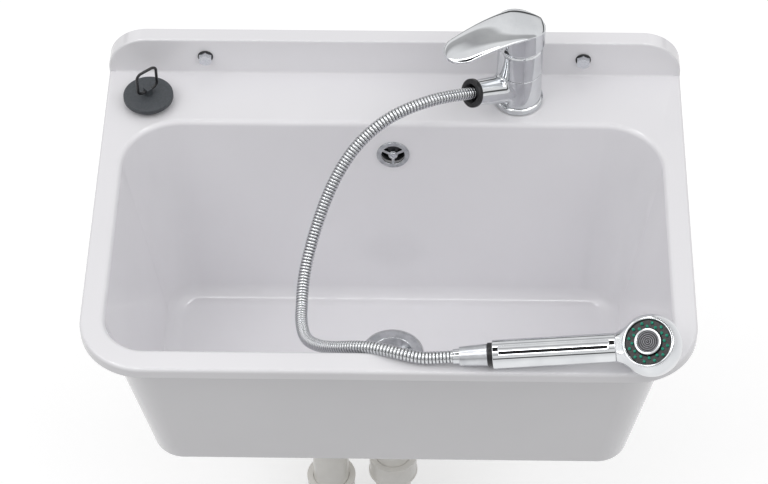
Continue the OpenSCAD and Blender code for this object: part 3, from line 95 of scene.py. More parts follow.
def add_node(finish, kind, inputs=None, **settings):
    """Adds one node, with its settings, and sets or links its inputs."""
    made = finish.node_tree.nodes.new(kind)
    for name, value in settings.items():
        setattr(made, name, value)
    for name, value in (inputs or {}).items():
        if isinstance(value, bpy.types.NodeSocket):
            finish.node_tree.links.new(value, made.inputs[name])
        else:
            made.inputs[name].default_value = value
    return made


def maths(finish, operation, *values):
    """One step of arithmetic between values or sockets."""
    return add_node(
        finish, "ShaderNodeMath", dict(enumerate(values)), operation=operation
    ).outputs["Value"]


def mixed(finish, share, first, second):
    """Two colours mixed by a share."""
    return add_node(
        finish, "ShaderNodeMix", {0: share, 6: first, 7: second}, data_type="RGBA"
    ).outputs[2]


def grained(name, tones, gloss, grain_mm, bite, relief, detail=3, stops=(0.3, 0.7), painted_groove_shade=None,
            ripple_mm=None, **shading):
    """A finish whose tone, roughness and surface follow one noise, from its low to its high end.

    A painted shade colour goes where the mesh's painted groove shade share is high, and darkens
    the grooves. A ripple, when there is one, bends the surface in place of the noise.
    """
    finish = new_finish(name)
    at = add_node(finish, "ShaderNodeTexCoord").outputs["Object"]
    grain = add_node(
        finish, "ShaderNodeTexNoise", {"Vector": at, "Scale": 1000 / grain_mm, "Detail": detail}
    ).outputs["Fac"]
    ramp = add_node(finish, "ShaderNodeValToRGB", {"Fac": grain})
    for stop, position, tone in zip(ramp.color_ramp.elements, stops, tones):
        stop.position = position
        stop.color = linear(tone)
    colour = ramp.outputs["Color"]
    # Painted shade: the groove shade share pulls the tone towards the darker colour in the grooves.
    if painted_groove_shade:
        depth = add_node(finish, "ShaderNodeAttribute", attribute_name="painted_groove_shade").outputs["Fac"]
        colour = mixed(finish, depth, colour, linear(painted_groove_shade))
    roughness = add_node(
        finish, "ShaderNodeMapRange", {"Value": grain, "To Min": gloss[0], "To Max": gloss[1]}
    ).outputs["Result"]
    height = grain
    if ripple_mm:
        height = add_node(
            finish, "ShaderNodeTexNoise", {"Vector": at, "Scale": 1000 / ripple_mm, "Detail": 1}
        ).outputs["Fac"]
    bump = add_node(
        finish, "ShaderNodeBump", {"Height": height, "Strength": bite, "Distance": relief * MM}
    ).outputs["Normal"]
    shader = add_node(
        finish,
        "ShaderNodeBsdfPrincipled",
        {"Base Color": colour, "Roughness": roughness, "Normal": bump, **shading},
    )
    add_node(finish, "ShaderNodeOutputMaterial", {"Surface": shader.outputs["BSDF"]})
    return finish


def make_piece(name, points, faces, place=None):
    """A mesh object from points in millimetres, set in the frame of its place."""
    place = place or Matrix.Identity(4)
    mesh = bpy.data.meshes.new(name)
    mesh.from_pydata([(place @ Vector(p)) * MM for p in points], [], faces)
    edit = bmesh.new()
    edit.from_mesh(mesh)
    bmesh.ops.remove_doubles(edit, verts=edit.verts, dist=0.002 * MM)
    bmesh.ops.recalc_face_normals(edit, faces=edit.faces)
    edit.to_mesh(mesh)
    edit.free()
    piece = bpy.data.objects.new(name, mesh)
    bpy.context.scene.collection.objects.link(piece)
    return piece


def smooth_route(knots, steps=60):
    """Points along the smooth curve that the part's source draws by these knots."""
    knots = [Vector(k) for k in knots]
    knots = [2 * knots[0] - knots[1]] + knots + [2 * knots[-1] - knots[-2]]
    line = []
    for i in range(len(knots) - 3):
        a, b, c, d = knots[i : i + 4]
        last = i == len(knots) - 4
        for k in range(steps + (1 if last else 0)):
            f = k / steps
            g = 1 - f
            to_b, to_c = 3 * f**3 - 6 * f * f + 4, 3 * g**3 - 6 * g * g + 4
            line.append((g**3 * a + to_b * b + to_c * c + f**3 * d) / 6)
    return line


def points_along(line, shares):
    """Points at these shares of a line's length."""
    run = [0]
    for a, b in zip(line, line[1:]):
        run.append(run[-1] + (b - a).length)
    found, i = [], 0
    for share in shares:
        want = share * run[-1]
        while i < len(run) - 2 and run[i + 1] < want:
            i += 1
        found.append(line[i].lerp(line[i + 1], (want - run[i]) / (run[i + 1] - run[i])))
    return found, run[-1]


def quads(rings, sides, first=0, closed=False):
    """Faces between neighbouring rings of points, and from the last back to the first if closed."""
    faces = []
    for i in range(rings if closed else rings - 1):
        here, ahead = first + i * sides, first + (i + 1) % rings * sides
        for k in range(sides):
            n = (k + 1) % sides
            faces.append((here + k, here + n, ahead + n, ahead + k))
    return faces


def sweep(name, centres, radii, sides, place=None, bore=None):
    """A round tube over centres, one radius each. Its ends are closed, or open into a bore."""
    count = len(centres)
    side = Vector((1, 0.3, 0.2))
    outer, inner = [], []
    for i, centre in enumerate(centres):
        ahead = (centres[min(i + 1, count - 1)] - centres[max(i - 1, 0)]).normalized()
        side = (side - side.dot(ahead) * ahead).normalized()
        other = ahead.cross(side)
        for ring, r in ((outer, radii[i]), (inner, bore or 0)):
            for k in range(sides):
                a = 2 * math.pi * k / sides
                ring.append(centre + r * (math.cos(a) * side + math.sin(a) * other))
    faces = quads(count, sides)
    if not bore:
        faces += [tuple(range(sides)), tuple(range((count - 1) * sides, count * sides))]
        return make_piece(name, outer, faces, place)
    faces += quads(count, sides, first=count * sides)
    for start in (0, (count - 1) * sides):
        for k in range(sides):
            a, b = start + k, start + (k + 1) % sides
            faces.append((a, b, b + count * sides, a + count * sides))
    return make_piece(name, outer + inner, faces, place)


# Wound stainless steel, polished on its crests: bright bands, and painted shade in the grooves
# makes dark lines between them.
# The strip's own drawing lines run round the hose and are finer than a pixel.
wound_steel = grained(
    "wound_stainless_strip", ("C2C4C7", "DDDFE1"), (0.1, 0.18), 1000 / 900, 0.05, 0.1,
    painted_groove_shade="1C1C1E", Metallic=1.0,
)

hose_r = 6.25
hose_groove = 0.95
ring_pitch = 3.4
ring_section = [
    (0, 1), (0.07, 0.62), (0.17, 0.24), (0.32, 0.02), (0.5, -0.06), (0.68, 0.02), (0.83, 0.24),
    (0.93, 0.62),
]
hose_sides = 32


def wound_hose(name, knots, pitch, section, radius, groove, sides, bore=None):
    """A ringed hose along a route: section gives the groove's share at each share of a pitch."""
    line = smooth_route(knots)
    length = sum((b - a).length for a, b in zip(line, line[1:]))
    rings = round(length / pitch)
    steps = [(i + share, dip) for i in range(rings) for share, dip in section]
    steps.append((rings, section[0][1]))
    centres, length = points_along(line, [at / rings for at, dip in steps])
    hose = sweep(name, centres, [radius - groove * dip for at, dip in steps], sides, bore=bore)
    # The groove's share is stored on the points as painted shade, for the finish to darken the
    # grooves.
    depth = hose.data.attributes.new("painted_groove_shade", "FLOAT", "POINT")
    depth.data.foreach_set(
        "value",
        [max(dip, 0) for at, dip in steps for k in range(sides)] * (2 if bore else 1),
    )
    return hose, [c * MM for c in centres], length * MM


upper_knots = [
    (88.2, -82.3, 15.6), (69.2, -95.6, 25), (50.2, -108.9, 34.3), (28, -122, 38), (4, -134, 36),
    (-18, -146, 27), (-37, -158, 12), (-52, -171, -7), (-64, -185, -28), (-73, -200, -48),
    (-80, -216, -65), (-85, -232, -78), (-88, -248, -87), (-89, -264, -92), (-89, -280, -94),
]
lower_knots = [
    (-89, -280, -94), (-89, -296, -94), (-87, -313, -91), (-83, -330, -84), (-76, -345, -74),
    (-66, -359, -62), (-54, -371, -49), (-40, -381, -36), (-23, -390, -24.5), (-4, -398.5, -17.5),
    (15.5, -406.5, -15.3), (32, -410.6, -15.6), (43, -411, -14.9), (55, -411, -13.6),
    (67, -411, -12.3),
]

hose_upper, hose_upper_path, hose_upper_length = wound_hose(
    "steel_hose_upper", upper_knots, ring_pitch, ring_section, hose_r, hose_groove, hose_sides
)
hose_lower, hose_lower_path, hose_lower_length = wound_hose(
    "steel_hose_lower", lower_knots, ring_pitch, ring_section, hose_r, hose_groove, hose_sides
)
for hose, node in ((hose_upper, "spray_hose_upper"), (hose_lower, "spray_hose_lower")):
    hose.data.materials.append(wound_steel)
    hose.data.shade_smooth()
    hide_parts(node)
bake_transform(hose_upper)
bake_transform(hose_lower)


def box(x_low, x_high, y_low, y_high):
    """A rectangle's corners, as an outline."""
    return [(x_low, y_low), (x_high, y_low), (x_high, y_high), (x_low, y_high)]


def bow(a, corner, b, shares):
    """Points at these shares of a curve from a to b that leans to a corner."""
    return [((1 - t) ** 2) * a + 2 * t * (1 - t) * corner + t * t * b for t in shares]


def turned(name, outline, place=None, soft=0.4, steps=96):
    """Turns a closed outline of (radius, height) points about its place's axis, edges softened."""
    section = []
    count = len(outline)
    for i, here in enumerate(outline):
        here = Vector(here)
        back, ahead = Vector(outline[i - 1]) - here, Vector(outline[(i + 1) % count]) - here
        reach = min(soft, 0.45 * back.length, 0.45 * ahead.length)
        if here.x < 0.01 or reach < 0.02 or abs(back.angle(ahead) - math.pi) < 0.12:
            section.append(here)
            continue
        a, b = here + reach * back.normalized(), here + reach * ahead.normalized()
        section += bow(a, here, b, (0, 0.25, 0.5, 0.75, 1))
    angles = [2 * math.pi * k / steps for k in range(steps)]
    points = [(r * math.cos(a), r * math.sin(a), z) for r, z in section for a in angles]
    return make_piece(name, points, quads(len(section), steps, closed=True), place)


def dress(piece, finish, body, slot, *nodes, sharp=35):
    """Gives a piece its finish and shading, and fixes it to its body in place of its nodes."""
    piece.data.materials.clear()
    piece.data.materials.append(finish)
    piece.data.shade_smooth()
    piece.data.set_sharp_from_angle(angle=math.radians(sharp))
    weighted = piece.modifiers.new("even_shading", "WEIGHTED_NORMAL")
    weighted.keep_sharp = True
    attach(piece, body)
    if nodes:
        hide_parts(*nodes)


# Hose end. A plated brass ferrule is crimped on the hose, and a satin cone nut slides over it
# and screws on the handle. The handle's frame has its origin in the spray head.
def shift(x, y, z):
    """A place moved by millimetres."""
    return Matrix.Translation((x, y, z))


def turn(degrees, axis):
    """A place turned by degrees about an axis."""
    return Matrix.Rotation(math.radians(degrees), 4, axis)


def electroplate(name, tones, gloss, wear_mm):
    """Chromium over nickel: nearly a mirror, with faint clouds where it has been wiped."""
    return grained(
        name, tones, gloss, wear_mm, 0.01, 0.2, detail=4, stops=(0.35, 0.65), Metallic=1.0
    )


bright_chrome = electroplate("bright_chrome_plate", ("CFD1D4", "DCDEE0"), (0.03, 0.07), 30)
satin_chrome = electroplate("satin_chrome_plate", ("BCBEC2", "CBCDD0"), (0.26, 0.34), 12)

head_r, handle_r, grip_end = 30, 14, 150
spray_tilt = math.degrees(math.asin((head_r - handle_r) / grip_end))
spray_frame = shift(250, -411, 7.3) @ turn(180, "Z") @ turn(spray_tilt, "Y") @ turn(-28, "X")
grip_frame = spray_frame @ turn(90, "Y")
swivel_length, nut_length = 5, 27
nut_at = grip_end + swivel_length
ferrule_end = nut_at + nut_length + 6

ferrule = turned(
    "hose_ferrule_sleeve",
    [(6.4, ferrule_end - 12), (7.4, ferrule_end - 12), (7.4, ferrule_end - 2.2),
     (7.1, ferrule_end - 1.9), (7.4, ferrule_end - 1.6), (7.4, ferrule_end), (6.4, ferrule_end)],
    grip_frame, 0.35,
)
dress(ferrule, bright_chrome, "hose_end", "chrome", "hose_ferrule")

cone_nut = turned(
    "hose_nut_cone",
    [(8.1, nut_at), (10.7, nut_at), (10.6, nut_at + 1.6), (9.25, nut_at + nut_length - 1.2),
     (9.2, nut_at + nut_length), (7.55, nut_at + nut_length), (7.55, nut_at + 12),
     (8.1, nut_at + 12)],
    grip_frame, 0.5,
)
dress(cone_nut, satin_chrome, "hose_end", "satin_chrome", "hose_cone_nut")


# Sink. One thin moulding of glossy white acrylic, with a deep tapered bowl, a ledge for the
# tap, a splash-back and a rim whose lip turns down. It hangs on two screws in the splash-back.
# The mould's polish leaves a faint ripple about 40 mm long that bends what the gloss shows.
gloss_acrylic = grained(
    "moulded_gloss_acrylic", ("EAE9EC", "EEEDF0"), (0.02, 0.05), 1000 / 6, 0.05, 0.4,
    ripple_mm=40, IOR=1.54,
)

sink_half = 300
sink_depth = 423
rim_z = -23
wall = 4
lip = 13
bowl_half = 276.5
bowl_back, bowl_front = -91, -397
bowl_depth = 245
floor_z = rim_z - bowl_depth
back_lean = 5.3
back_taper, front_taper, side_taper = (math.tan(math.radians(a)) for a in (back_lean, 14, 8))
waste_y = -196
corner_steps = 24


def rounded_ring(half, back, front, back_r, front_r, z):
    """A rounded rectangle at one height, corner by corner from the right at the back."""
    ring = []
    for corner in range(4):
        r = back_r if corner < 2 else front_r
        x = (half - r) * (1 if corner in (0, 3) else -1)
        y = back - r if corner < 2 else front + r
        for i in range(corner_steps):
            a = math.radians(90 * corner + 90 * i / (corner_steps - 1))
            ring.append((x + r * math.cos(a), y + r * math.sin(a), z))
    return ring


def bowl_ring(depth, out):
    """The bowl's outline at a depth below the rim, moved outwards."""
    fall = depth / bowl_depth
    return rounded_ring(
        bowl_half - depth * side_taper + out,
        bowl_back - depth * back_taper + out,
        bowl_front + depth * front_taper - out,
        60 - 26 * fall + out,
        42 - 14 * fall + out,
        rim_z - depth,
    )


def rim_ring(inset, z):
    """The rim's outline at a height, moved inwards."""
    return rounded_ring(
        sink_half - inset, -inset, -sink_depth + inset, max(3 - inset, 0.5), 65 - inset, z
    )


def quarter(steps, back=False):
    """Sine and cosine pairs over a quarter turn."""
    angles = [math.pi / 2 * i / steps for i in range(steps + 1)]
    return [(math.sin(a), math.cos(a)) for a in (reversed(angles) if back else angles)]


def skin(name, rings, first, last, place=None):
    """A skin over rings of points, closed on one point at each end."""
    sides = len(rings[0])
    points = [first] + [p for ring in rings for p in ring] + [last]
    faces = quads(len(rings), sides, first=1)
    end = len(points) - 1 - sides
    for k in range(sides):
        n = (k + 1) % sides
        faces += [(0, 1 + n, 1 + k), (len(points) - 1, end + k, end + n)]
    return make_piece(name, points, faces, place)


# The section runs from the floor's underside out to the lip, over the rim and down to the floor.
under_floor, floor_edge = 9, 16
opening_edge, rim_edge, lip_edge = 5, 3.5, 1.5
under_opening = opening_edge - wall
rings = []
for s, c in quarter(8, back=True):
    rings.append(bowl_ring(bowl_depth + wall - under_floor * (1 - s), wall - under_floor * (1 - c)))
for s, c in quarter(5):
    rings.append(bowl_ring(opening_edge - under_opening * s, opening_edge - under_opening * c))
rings += [rim_ring(wall + 2, rim_z - wall), rim_ring(wall, rim_z - wall - 2)]
for s, c in quarter(4):
    rings.append(rim_ring(wall - lip_edge * (1 - c), rim_z - lip + lip_edge * (1 - s)))
for s, c in quarter(4, back=True):
    rings.append(rim_ring(lip_edge * (1 - c), rim_z - lip + lip_edge * (1 - s)))
for s, c in quarter(7):
    rings.append(rim_ring(rim_edge * (1 - c), rim_z - rim_edge * (1 - s)))
for s, c in quarter(8):
    rings.append(bowl_ring(opening_edge * (1 - c), opening_edge * (1 - s)))
for s, c in quarter(10):
    rings.append(bowl_ring(bowl_depth - floor_edge * (1 - s), -floor_edge * (1 - c)))
sink = skin("sink_moulding", rings, (0, waste_y, floor_z - wall), (0, waste_y, floor_z))


def carve(piece, tool, operation="DIFFERENCE"):
    """Cuts a piece with a tool, or joins or crosses the two, and removes the tool."""
    step = piece.modifiers.new("carve", "BOOLEAN")
    step.operation = operation
    step.solver = "EXACT"
    step.object = tool
    bpy.context.view_layer.update()
    carved = bpy.data.meshes.new_from_object(
        piece.evaluated_get(bpy.context.evaluated_depsgraph_get())
    )
    piece.modifiers.clear()
    piece.data = carved
    bpy.data.objects.remove(tool)


def prism(name, outline, low, high, place=None):
    """A flat outline of (x, y) points made solid from one height to another."""
    n = len(outline)
    points = [(x, y, low) for x, y in outline] + [(x, y, high) for x, y in outline]
    faces = [tuple(range(n)), tuple(range(n, 2 * n))]
    faces += [(i, (i + 1) % n, n + (i + 1) % n, n + i) for i in range(n)]
    return make_piece(name, points, faces, place)


def splash_outline(inset, low):
    """The splash-back's outline in the wall's plane, with round top corners."""
    x, top, r = sink_half - inset, 23 - inset, 42 - inset
    outline = [(-x, low), (x, low)]
    for side, start in ((1, 0), (-1, 90)):
        for i in range(25):
            a = math.radians(start + 90 * i / 24)
            outline.append((side * (x - r) + r * math.cos(a), top - r + r * math.sin(a)))
    return outline


# The splash-back is hollow from the wall, with a boss at each screw.
splash_thick, splash_edge = 17, 2
splash_low = rim_z - 4
splash_rings = [[(x, 0, z) for x, z in splash_outline(0, splash_low)]]
for s, c in quarter(5):
    out = splash_thick - splash_edge * (1 - s)
    outline = splash_outline(splash_edge * (1 - c), splash_low)
    splash_rings.append([(x, -out, z) for x, z in outline])
edge_points = len(splash_rings[0])
splash_faces = quads(len(splash_rings), edge_points)
for start in (0, (len(splash_rings) - 1) * edge_points):
    splash_faces.append(tuple(range(start, start + edge_points)))
splash = make_piece("splash", [p for ring in splash_rings for p in ring], splash_faces)
to_wall = turn(90, "X")
carve(splash, prism("splash_hollow", splash_outline(wall, rim_z), -1, splash_thick - wall, to_wall))
screw_x = 197.5
for side in (-1, 1):
    boss_frame = shift(side * screw_x, 0, 0) @ to_wall
    carve(splash, turned("screw_boss", box(0, 9, 0, 15), boss_frame, 0.5, 48), "UNION")
carve(sink, splash, "UNION")

# A small hollow fillet runs along the joint of ledge and splash-back.
cove_r, cove_sunk, cove_end = 2.5, 0.6, sink_half - 7
cove = [(-splash_thick + cove_sunk, rim_z - cove_sunk), (-splash_thick + cove_sunk, rim_z + cove_r)]
for s, c in quarter(6, back=True):
    cove.append((-splash_thick - cove_r * (1 - s), rim_z + cove_r * (1 - c)))
cove.append((-splash_thick - cove_r, rim_z - cove_sunk))
along_x = Matrix(((0, 0, 1, 0), (1, 0, 0, 0), (0, 1, 0, 0), (0, 0, 0, 1)))
carve(sink, prism("cove", cove, -cove_end, cove_end, along_x), "UNION")

# The floor is thicker round the waste, where the flange lies in a shallow recess.
waste_frame = shift(0, waste_y, 0)
seat = box(0, 40, floor_z - 8, floor_z - 2)
carve(sink, turned("seat", seat, waste_frame, 1.5), "UNION")
waste_hole = [(0, floor_z - 9), (26, floor_z - 9), (26, floor_z - 2), (34, floor_z - 2),
              (34, floor_z + 1), (0, floor_z + 1)]
carve(sink, turned("waste_hole", waste_hole, waste_frame, 0))
tap_at = shift(130, -53, 0)
carve(sink, turned("tap_hole", box(0, 17.5, rim_z - 8, rim_z + 4), tap_at, 0))
overflow_drop = 41
overflow_frame = (
    shift(0, bowl_back - overflow_drop * back_taper, rim_z - overflow_drop) @ turn(-back_lean, "X")
)
grille_frame = overflow_frame @ turn(-90, "X")
carve(sink, turned("overflow_hole", box(0, 13, -4, 8), grille_frame, 0))
for side in (-1, 1):
    hole_frame = shift(side * screw_x, 0, 0) @ to_wall
    carve(sink, turned("screw_hole", box(0, 4.6, -1, 19), hole_frame, 0, 48))
dress(sink, gloss_acrylic, "sink", "sink_white", "sink_shell", sharp=28)


# Wall screws. Two zinc-plated steel screws with hexagon heads, each on a black rubber washer.
def rubber(name, tones, grain_mm):
    """Moulded rubber: matt, with a faint grey bloom on it."""
    return grained(name, tones, (0.45, 0.62), grain_mm, 0.15, 0.1, 4, (0.35, 0.7), IOR=1.52)


def metal(name, tones, gloss, grain_mm, bite):
    """Worked metal: a fine grain in colour, gloss and surface."""
    return grained(name, tones, gloss, grain_mm, bite, 0.1, 5, (0.35, 0.65), Metallic=1.0)


black_rubber = rubber("black_moulded_rubber", ("1F1F22", "29292C"), 3)
bright_zinc = metal("bright_zinc_plate", ("CBCED3", "DDDFE3"), (0.16, 0.3), 2, 0.08)


def hex_solid(flats, low, high, chamfer_low=False):
    """Points and faces of a hexagon head whose corners are turned off at 30 degrees."""
    steps, half, slope = 72, flats / 2, 0.58
    reach = [half / math.cos(math.radians((360 * k / steps + 30) % 60 - 30)) for k in range(steps)]
    rows = [[(r, high - slope * (r - half) - 0.15) for r in reach], [(half * 0.97, high)] * steps]
    if chamfer_low:
        turned_off = [(r, low + slope * (r - half) + 0.15) for r in reach]
        rows = [[(half * 0.97, low)] * steps, turned_off] + rows
    else:
        rows = [[(r, low) for r in reach]] + rows
    points = []
    for row in rows:
        for k, (r, z) in enumerate(row):
            a = 2 * math.pi * k / steps
            points.append((r * math.cos(a), r * math.sin(a), z))
    faces = quads(len(rows), steps)
    faces += [tuple(range(steps)), tuple(range(len(points) - steps, len(points)))]
    return points, faces


def join(name, pieces):
    """Several meshes as one piece, whose parts may touch."""
    whole = bmesh.new()
    for piece in pieces:
        whole.from_mesh(piece.data)
        bpy.data.objects.remove(piece)
    mesh = bpy.data.meshes.new(name)
    whole.to_mesh(mesh)
    whole.free()
    joined = bpy.data.objects.new(name, mesh)
    bpy.context.scene.collection.objects.link(joined)
    return joined


def thread(core, crest, pitch, low, high):
    """The closed outline of a threaded shank as rings, one for each turn."""
    outline = [(0, low), (core, low)]
    turns = int((high - low) / pitch)
    for i in range(turns):
        z = low + (high - low - turns * pitch) / 2 + i * pitch
        outline += [(core, z + 0.1 * pitch), (crest, z + 0.45 * pitch), (crest, z + 0.55 * pitch),
                    (core, z + 0.9 * pitch)]
    return outline + [(core, high), (0, high)]


screw_parts, washer_parts = [], []
for side in (-1, 1):
    here = shift(side * screw_x, 0, 0) @ to_wall
    points, faces = hex_solid(13, 18.6, 24.1)
    screw_parts.append(make_piece("hex_head", points, faces, here))
    screw_parts.append(turned("shank", box(0, 3.6, -1, 18.8), here, 0, 48))
    screw_parts.append(turned("wood_thread", thread(3.1, 4, 2.6, -15, -0.5), here, 0, 48))
    point = [(0, -21), (0.5, -21), (3.1, -14.9), (0, -14.9)]
    screw_parts.append(turned("point", point, here, 0, 48))
    washer_parts.append(turned("washer", box(4.3, 8, 17, 18.6), here, 0.35, 64))
dress(join("hex_wall_screws", screw_parts), bright_zinc, "sink", "zinc_steel", "wall_screws")
dress(join("rubber_washers", washer_parts), black_rubber, "sink", "black_rubber", "screw_washers")


# Waste. A stamped stainless flange with six bars lies in the floor's recess on a line of putty.
# A long screw through its hub pulls the white waste body up under the floor, on a gasket.
def moulded_plastic(name, tones, gloss, ior, grain_mm, bite):
    """An injection-moulded plastic: even colour, with a soft, slightly uneven skin."""
    return grained(name, tones, gloss, grain_mm, bite, 0.2, IOR=ior)


def round_edges(piece, width, angle):
    """Rounds a piece's edges that turn by more than an angle."""
    bevel = piece.modifiers.new("round_edges", "BEVEL")
    bevel.width = width * MM
    bevel.segments = 2
    bevel.limit_method = "ANGLE"
    bevel.angle_limit = math.radians(angle)


stamped_stainless = metal("stamped_stainless", ("B4B7BA", "CDCFD1"), (0.1, 0.2), 6, 0.04)
white_polypropylene = moulded_plastic(
    "white_polypropylene", ("F0EEE9", "F5F3EE"), (0.2, 0.26), 1.49, 14, 0.02
)
grey_rubber = rubber("grey_moulded_rubber", ("88888A", "969698"), 3)
setting_putty = rubber("setting_putty", ("A9A8A6", "B8B7B4"), 5)

low = floor_z - 11
flange_dish = turned(
    "flange_dish",
    [(33, floor_z - 1.5), (23.5, floor_z - 1.5), (17, low), (15, low), (15, low + 1),
     (16, low + 1), (22.5, floor_z), (32, floor_z), (33, floor_z - 0.75)],
    waste_frame, 0.6, 128,
)
strainer = [flange_dish, turned("hub", box(3.1, 5, low, low + 1), waste_frame, 0.3, 48)]
for k in range(6):
    bar_frame = waste_frame @ turn(60 * k, "Z")
    strainer.append(prism("bar", box(4.6, 15.5, -1.3, 1.3), low, low + 0.95, bar_frame))
flange = join("waste_flange_dish", strainer)
round_edges(flange, 0.25, 50)
dress(flange, stamped_stainless, "sink", "stainless", "waste_flange", sharp=50)

putty = [(26.5, -270), (32.5, -270), (32.6, -269.75), (32.5, -269.5), (26.5, -269.5)]
dress(turned("flange_putty", putty, waste_frame, 0.1), setting_putty, "sink", "grey_rubber",
      "flange_seal")

screw_top = floor_z - 10
waste_screw = turned(
    "waste_screw_slotted",
    [(0, screw_top - 34), (3, screw_top - 34), (3, screw_top), (4.8, screw_top),
     (4.6, screw_top + 1.3), (3, screw_top + 2.2), (0, screw_top + 2.3)],
    waste_frame, 0.5, 64,
)
slot = prism("slot", box(-6, 6, -0.5, 0.5), screw_top + 1, screw_top + 4,
             waste_frame @ turn(35, "Z"))
carve(waste_screw, slot)
dress(waste_screw, bright_zinc, "sink", "zinc_steel", "waste_screw")

dress(turned("waste_body_gasket", box(26.5, 34, -278, -276), waste_frame, 0.6), grey_rubber,
      "sink", "grey_rubber", "waste_gasket")

waste_end = -332
spigot_frame = shift(0, waste_y, -296) @ turn(125, "Z") @ turn(90, "Y")
waste_body = turned(
    "waste_body_moulding",
    [(20.3, waste_end), (23.5, waste_end), (23.5, -316), (27.4, -316), (27.4, -314),
     (26.5, -314), (26.5, -310), (27.4, -310), (27.4, -308), (26.5, -308), (26.5, -283),
     (33, -283), (33, -278), (23.5, -278), (23.5, -313), (20.3, -313)],
    waste_frame, 0.5,
)
carve(waste_body, turned("spigot", box(0, 17.5, 25, 40), spigot_frame, 0.5), "UNION")
carve(waste_body, turned("spigot_bore", box(0, 14.5, 20, 41), spigot_frame, 0))
ribs = [waste_body]
for k in range(3):
    web_frame = waste_frame @ turn(30 + 120 * k, "Z")
    ribs.append(prism("web", box(5.5, 24, -1.25, 1.25), -306, -299, web_frame))
ribs.append(turned("screw_boss", box(3.05, 6, -306, -292), waste_frame, 0.5, 48))
waste_whole = join("waste_body_with_webs", ribs)
dress(waste_whole, white_polypropylene, "sink", "pipe_white", "waste_body")

# Down the drain the inside faces get a near-black finish: painted shade, where no light gets out.
painted_bore_shade = moulded_plastic("painted_bore_shade", ("0C0C0D", "161617"), (0.3, 0.5), 1.45, 4, 0.1)
tailpipe_end = -468
bore_shade_top = floor_z - 11.5


def paint_bore_shade(piece, radius):
    """Gives the faces inside a radius round the drain's axis the painted shade."""
    piece.data.materials.append(painted_bore_shade)
    for face in piece.data.polygons:
        at = face.center / MM
        if math.hypot(at.x, at.y - waste_y) < radius and tailpipe_end < at.z < bore_shade_top:
            face.material_index = 1


paint_bore_shade(waste_whole, 23.6)


def slip_nut(name, node, place, end, height, down=False):
    """A slip nut with a bead at each end, closed on its seal over a thread that ends at end."""
    top = (-end if down else end) + 5.5
    outline = [
        (23.8, top - height), (27.4, top - height), (27.4, top - height + 2),
        (26.5, top - height + 2), (26.5, top - 2), (27.4, top - 2), (27.4, top), (20.3, top),
        (20.3, top - 3), (23.8, top - 3),
    ]
    if down:
        outline = [(r, -z) for r, z in reversed(outline)]
    dress(turned(name, outline, place, 0.6), white_polypropylene, "sink", "pipe_white", node)


seal_high = 2.5


def seal_ring(name, node, place, low):
    """A grey rubber ring between a thread's end and its nut."""
    dress(turned(name, box(20.1, 23.5, low, low + seal_high), place, 0.5), grey_rubber, "sink",
          "grey_rubber", node)


slip_nut("nut_under_waste", "waste_nut", waste_frame, waste_end, 20.5, down=True)
seal_ring("seal_under_waste", "waste_seal", waste_frame, waste_end - seal_high)


# Overflow. A stainless grille closes the hole in the bowl's back wall. Its screw holds a dark
# plastic head behind the wall, and a ribbed hose joins the head to the waste body's spigot.
def spokes(outer, low, high):
    """Three spokes round the overflow's axis, out from its hub."""
    made = []
    for k in range(3):
        spoke_frame = grille_frame @ turn(90 + 120 * k, "Z")
        made.append(prism("spoke", box(4.5, outer, -1.5, 1.5), low, high, spoke_frame))
    return made


grille_parts = [turned("ring", box(12, 17, -2, 0), grille_frame, 0.7, 96),
                turned("hub", box(2.5, 5, -2, 0), grille_frame, 0.4, 48)]
grille_parts += spokes(12.6, -1.9, -0.1)
grille = join("overflow_grille_ring", grille_parts)
dress(grille, stamped_stainless, "sink", "stainless", "overflow_grille")

grille_screw = turned(
    "overflow_screw_slotted",
    [(0, -3.5), (2.2, -3.4), (3.5, -2.8), (3.8, -2), (2.4, -2), (2.4, 18), (0, 18)],
    grille_frame, 0.3, 48,
)
slot = prism("slot", box(-5, 5, -0.4, 0.4), -5, -2.7, grille_frame @ turn(20, "Z"))
carve(grille_screw, slot)
dress(grille_screw, bright_zinc, "sink", "zinc_steel", "overflow_screw")
dress(turned("overflow_gasket_ring", box(13.5, 20, 4, 6), grille_frame, 0.6),
      black_rubber, "sink", "black_rubber", "overflow_gasket")

dark_abs = moulded_plastic("dark_grey_abs", ("434347", "505054"), (0.38, 0.5), 1.53, 3, 0.2)
neck_frame = overflow_frame @ shift(0, 18, 0) @ turn(50, "Y") @ turn(180, "X")
overflow_head = turned("overflow_head_moulding", box(0, 20.5, 6, 30), grille_frame, 1.6)
carve(overflow_head, turned("neck", box(0, 9.8, 3, 44.5), neck_frame, 0.5, 72), "UNION")
chamber = [(0, 5), (13, 5), (13, 9), (17.5, 9), (17.5, 27), (0, 27)]
carve(overflow_head, turned("chamber", chamber, grille_frame, 0))
carve(overflow_head, turned("neck_bore", box(0, 7.8, 8, 46), neck_frame, 0, 72))
head_parts = [overflow_head, turned("hub", box(2.45, 5, 6, 27.5), grille_frame, 0.4, 48)]
head_parts += spokes(13.6, 6.1, 8.9)
dress(join("overflow_head_with_hub", head_parts), dark_abs, "sink", "overflow_dark",
      "overflow_head")

# Blow-moulded polyethylene: soft and matt, with painted shade making it darker down between its
# ribs.
ribbed_polyethylene = grained(
    "ribbed_polyethylene", ("B4B2B4", "C2C0C2"), (0.36, 0.48), 4, 0.1, 0.2, stops=(0, 1),
    painted_groove_shade="8C8A8D", IOR=1.51,
)

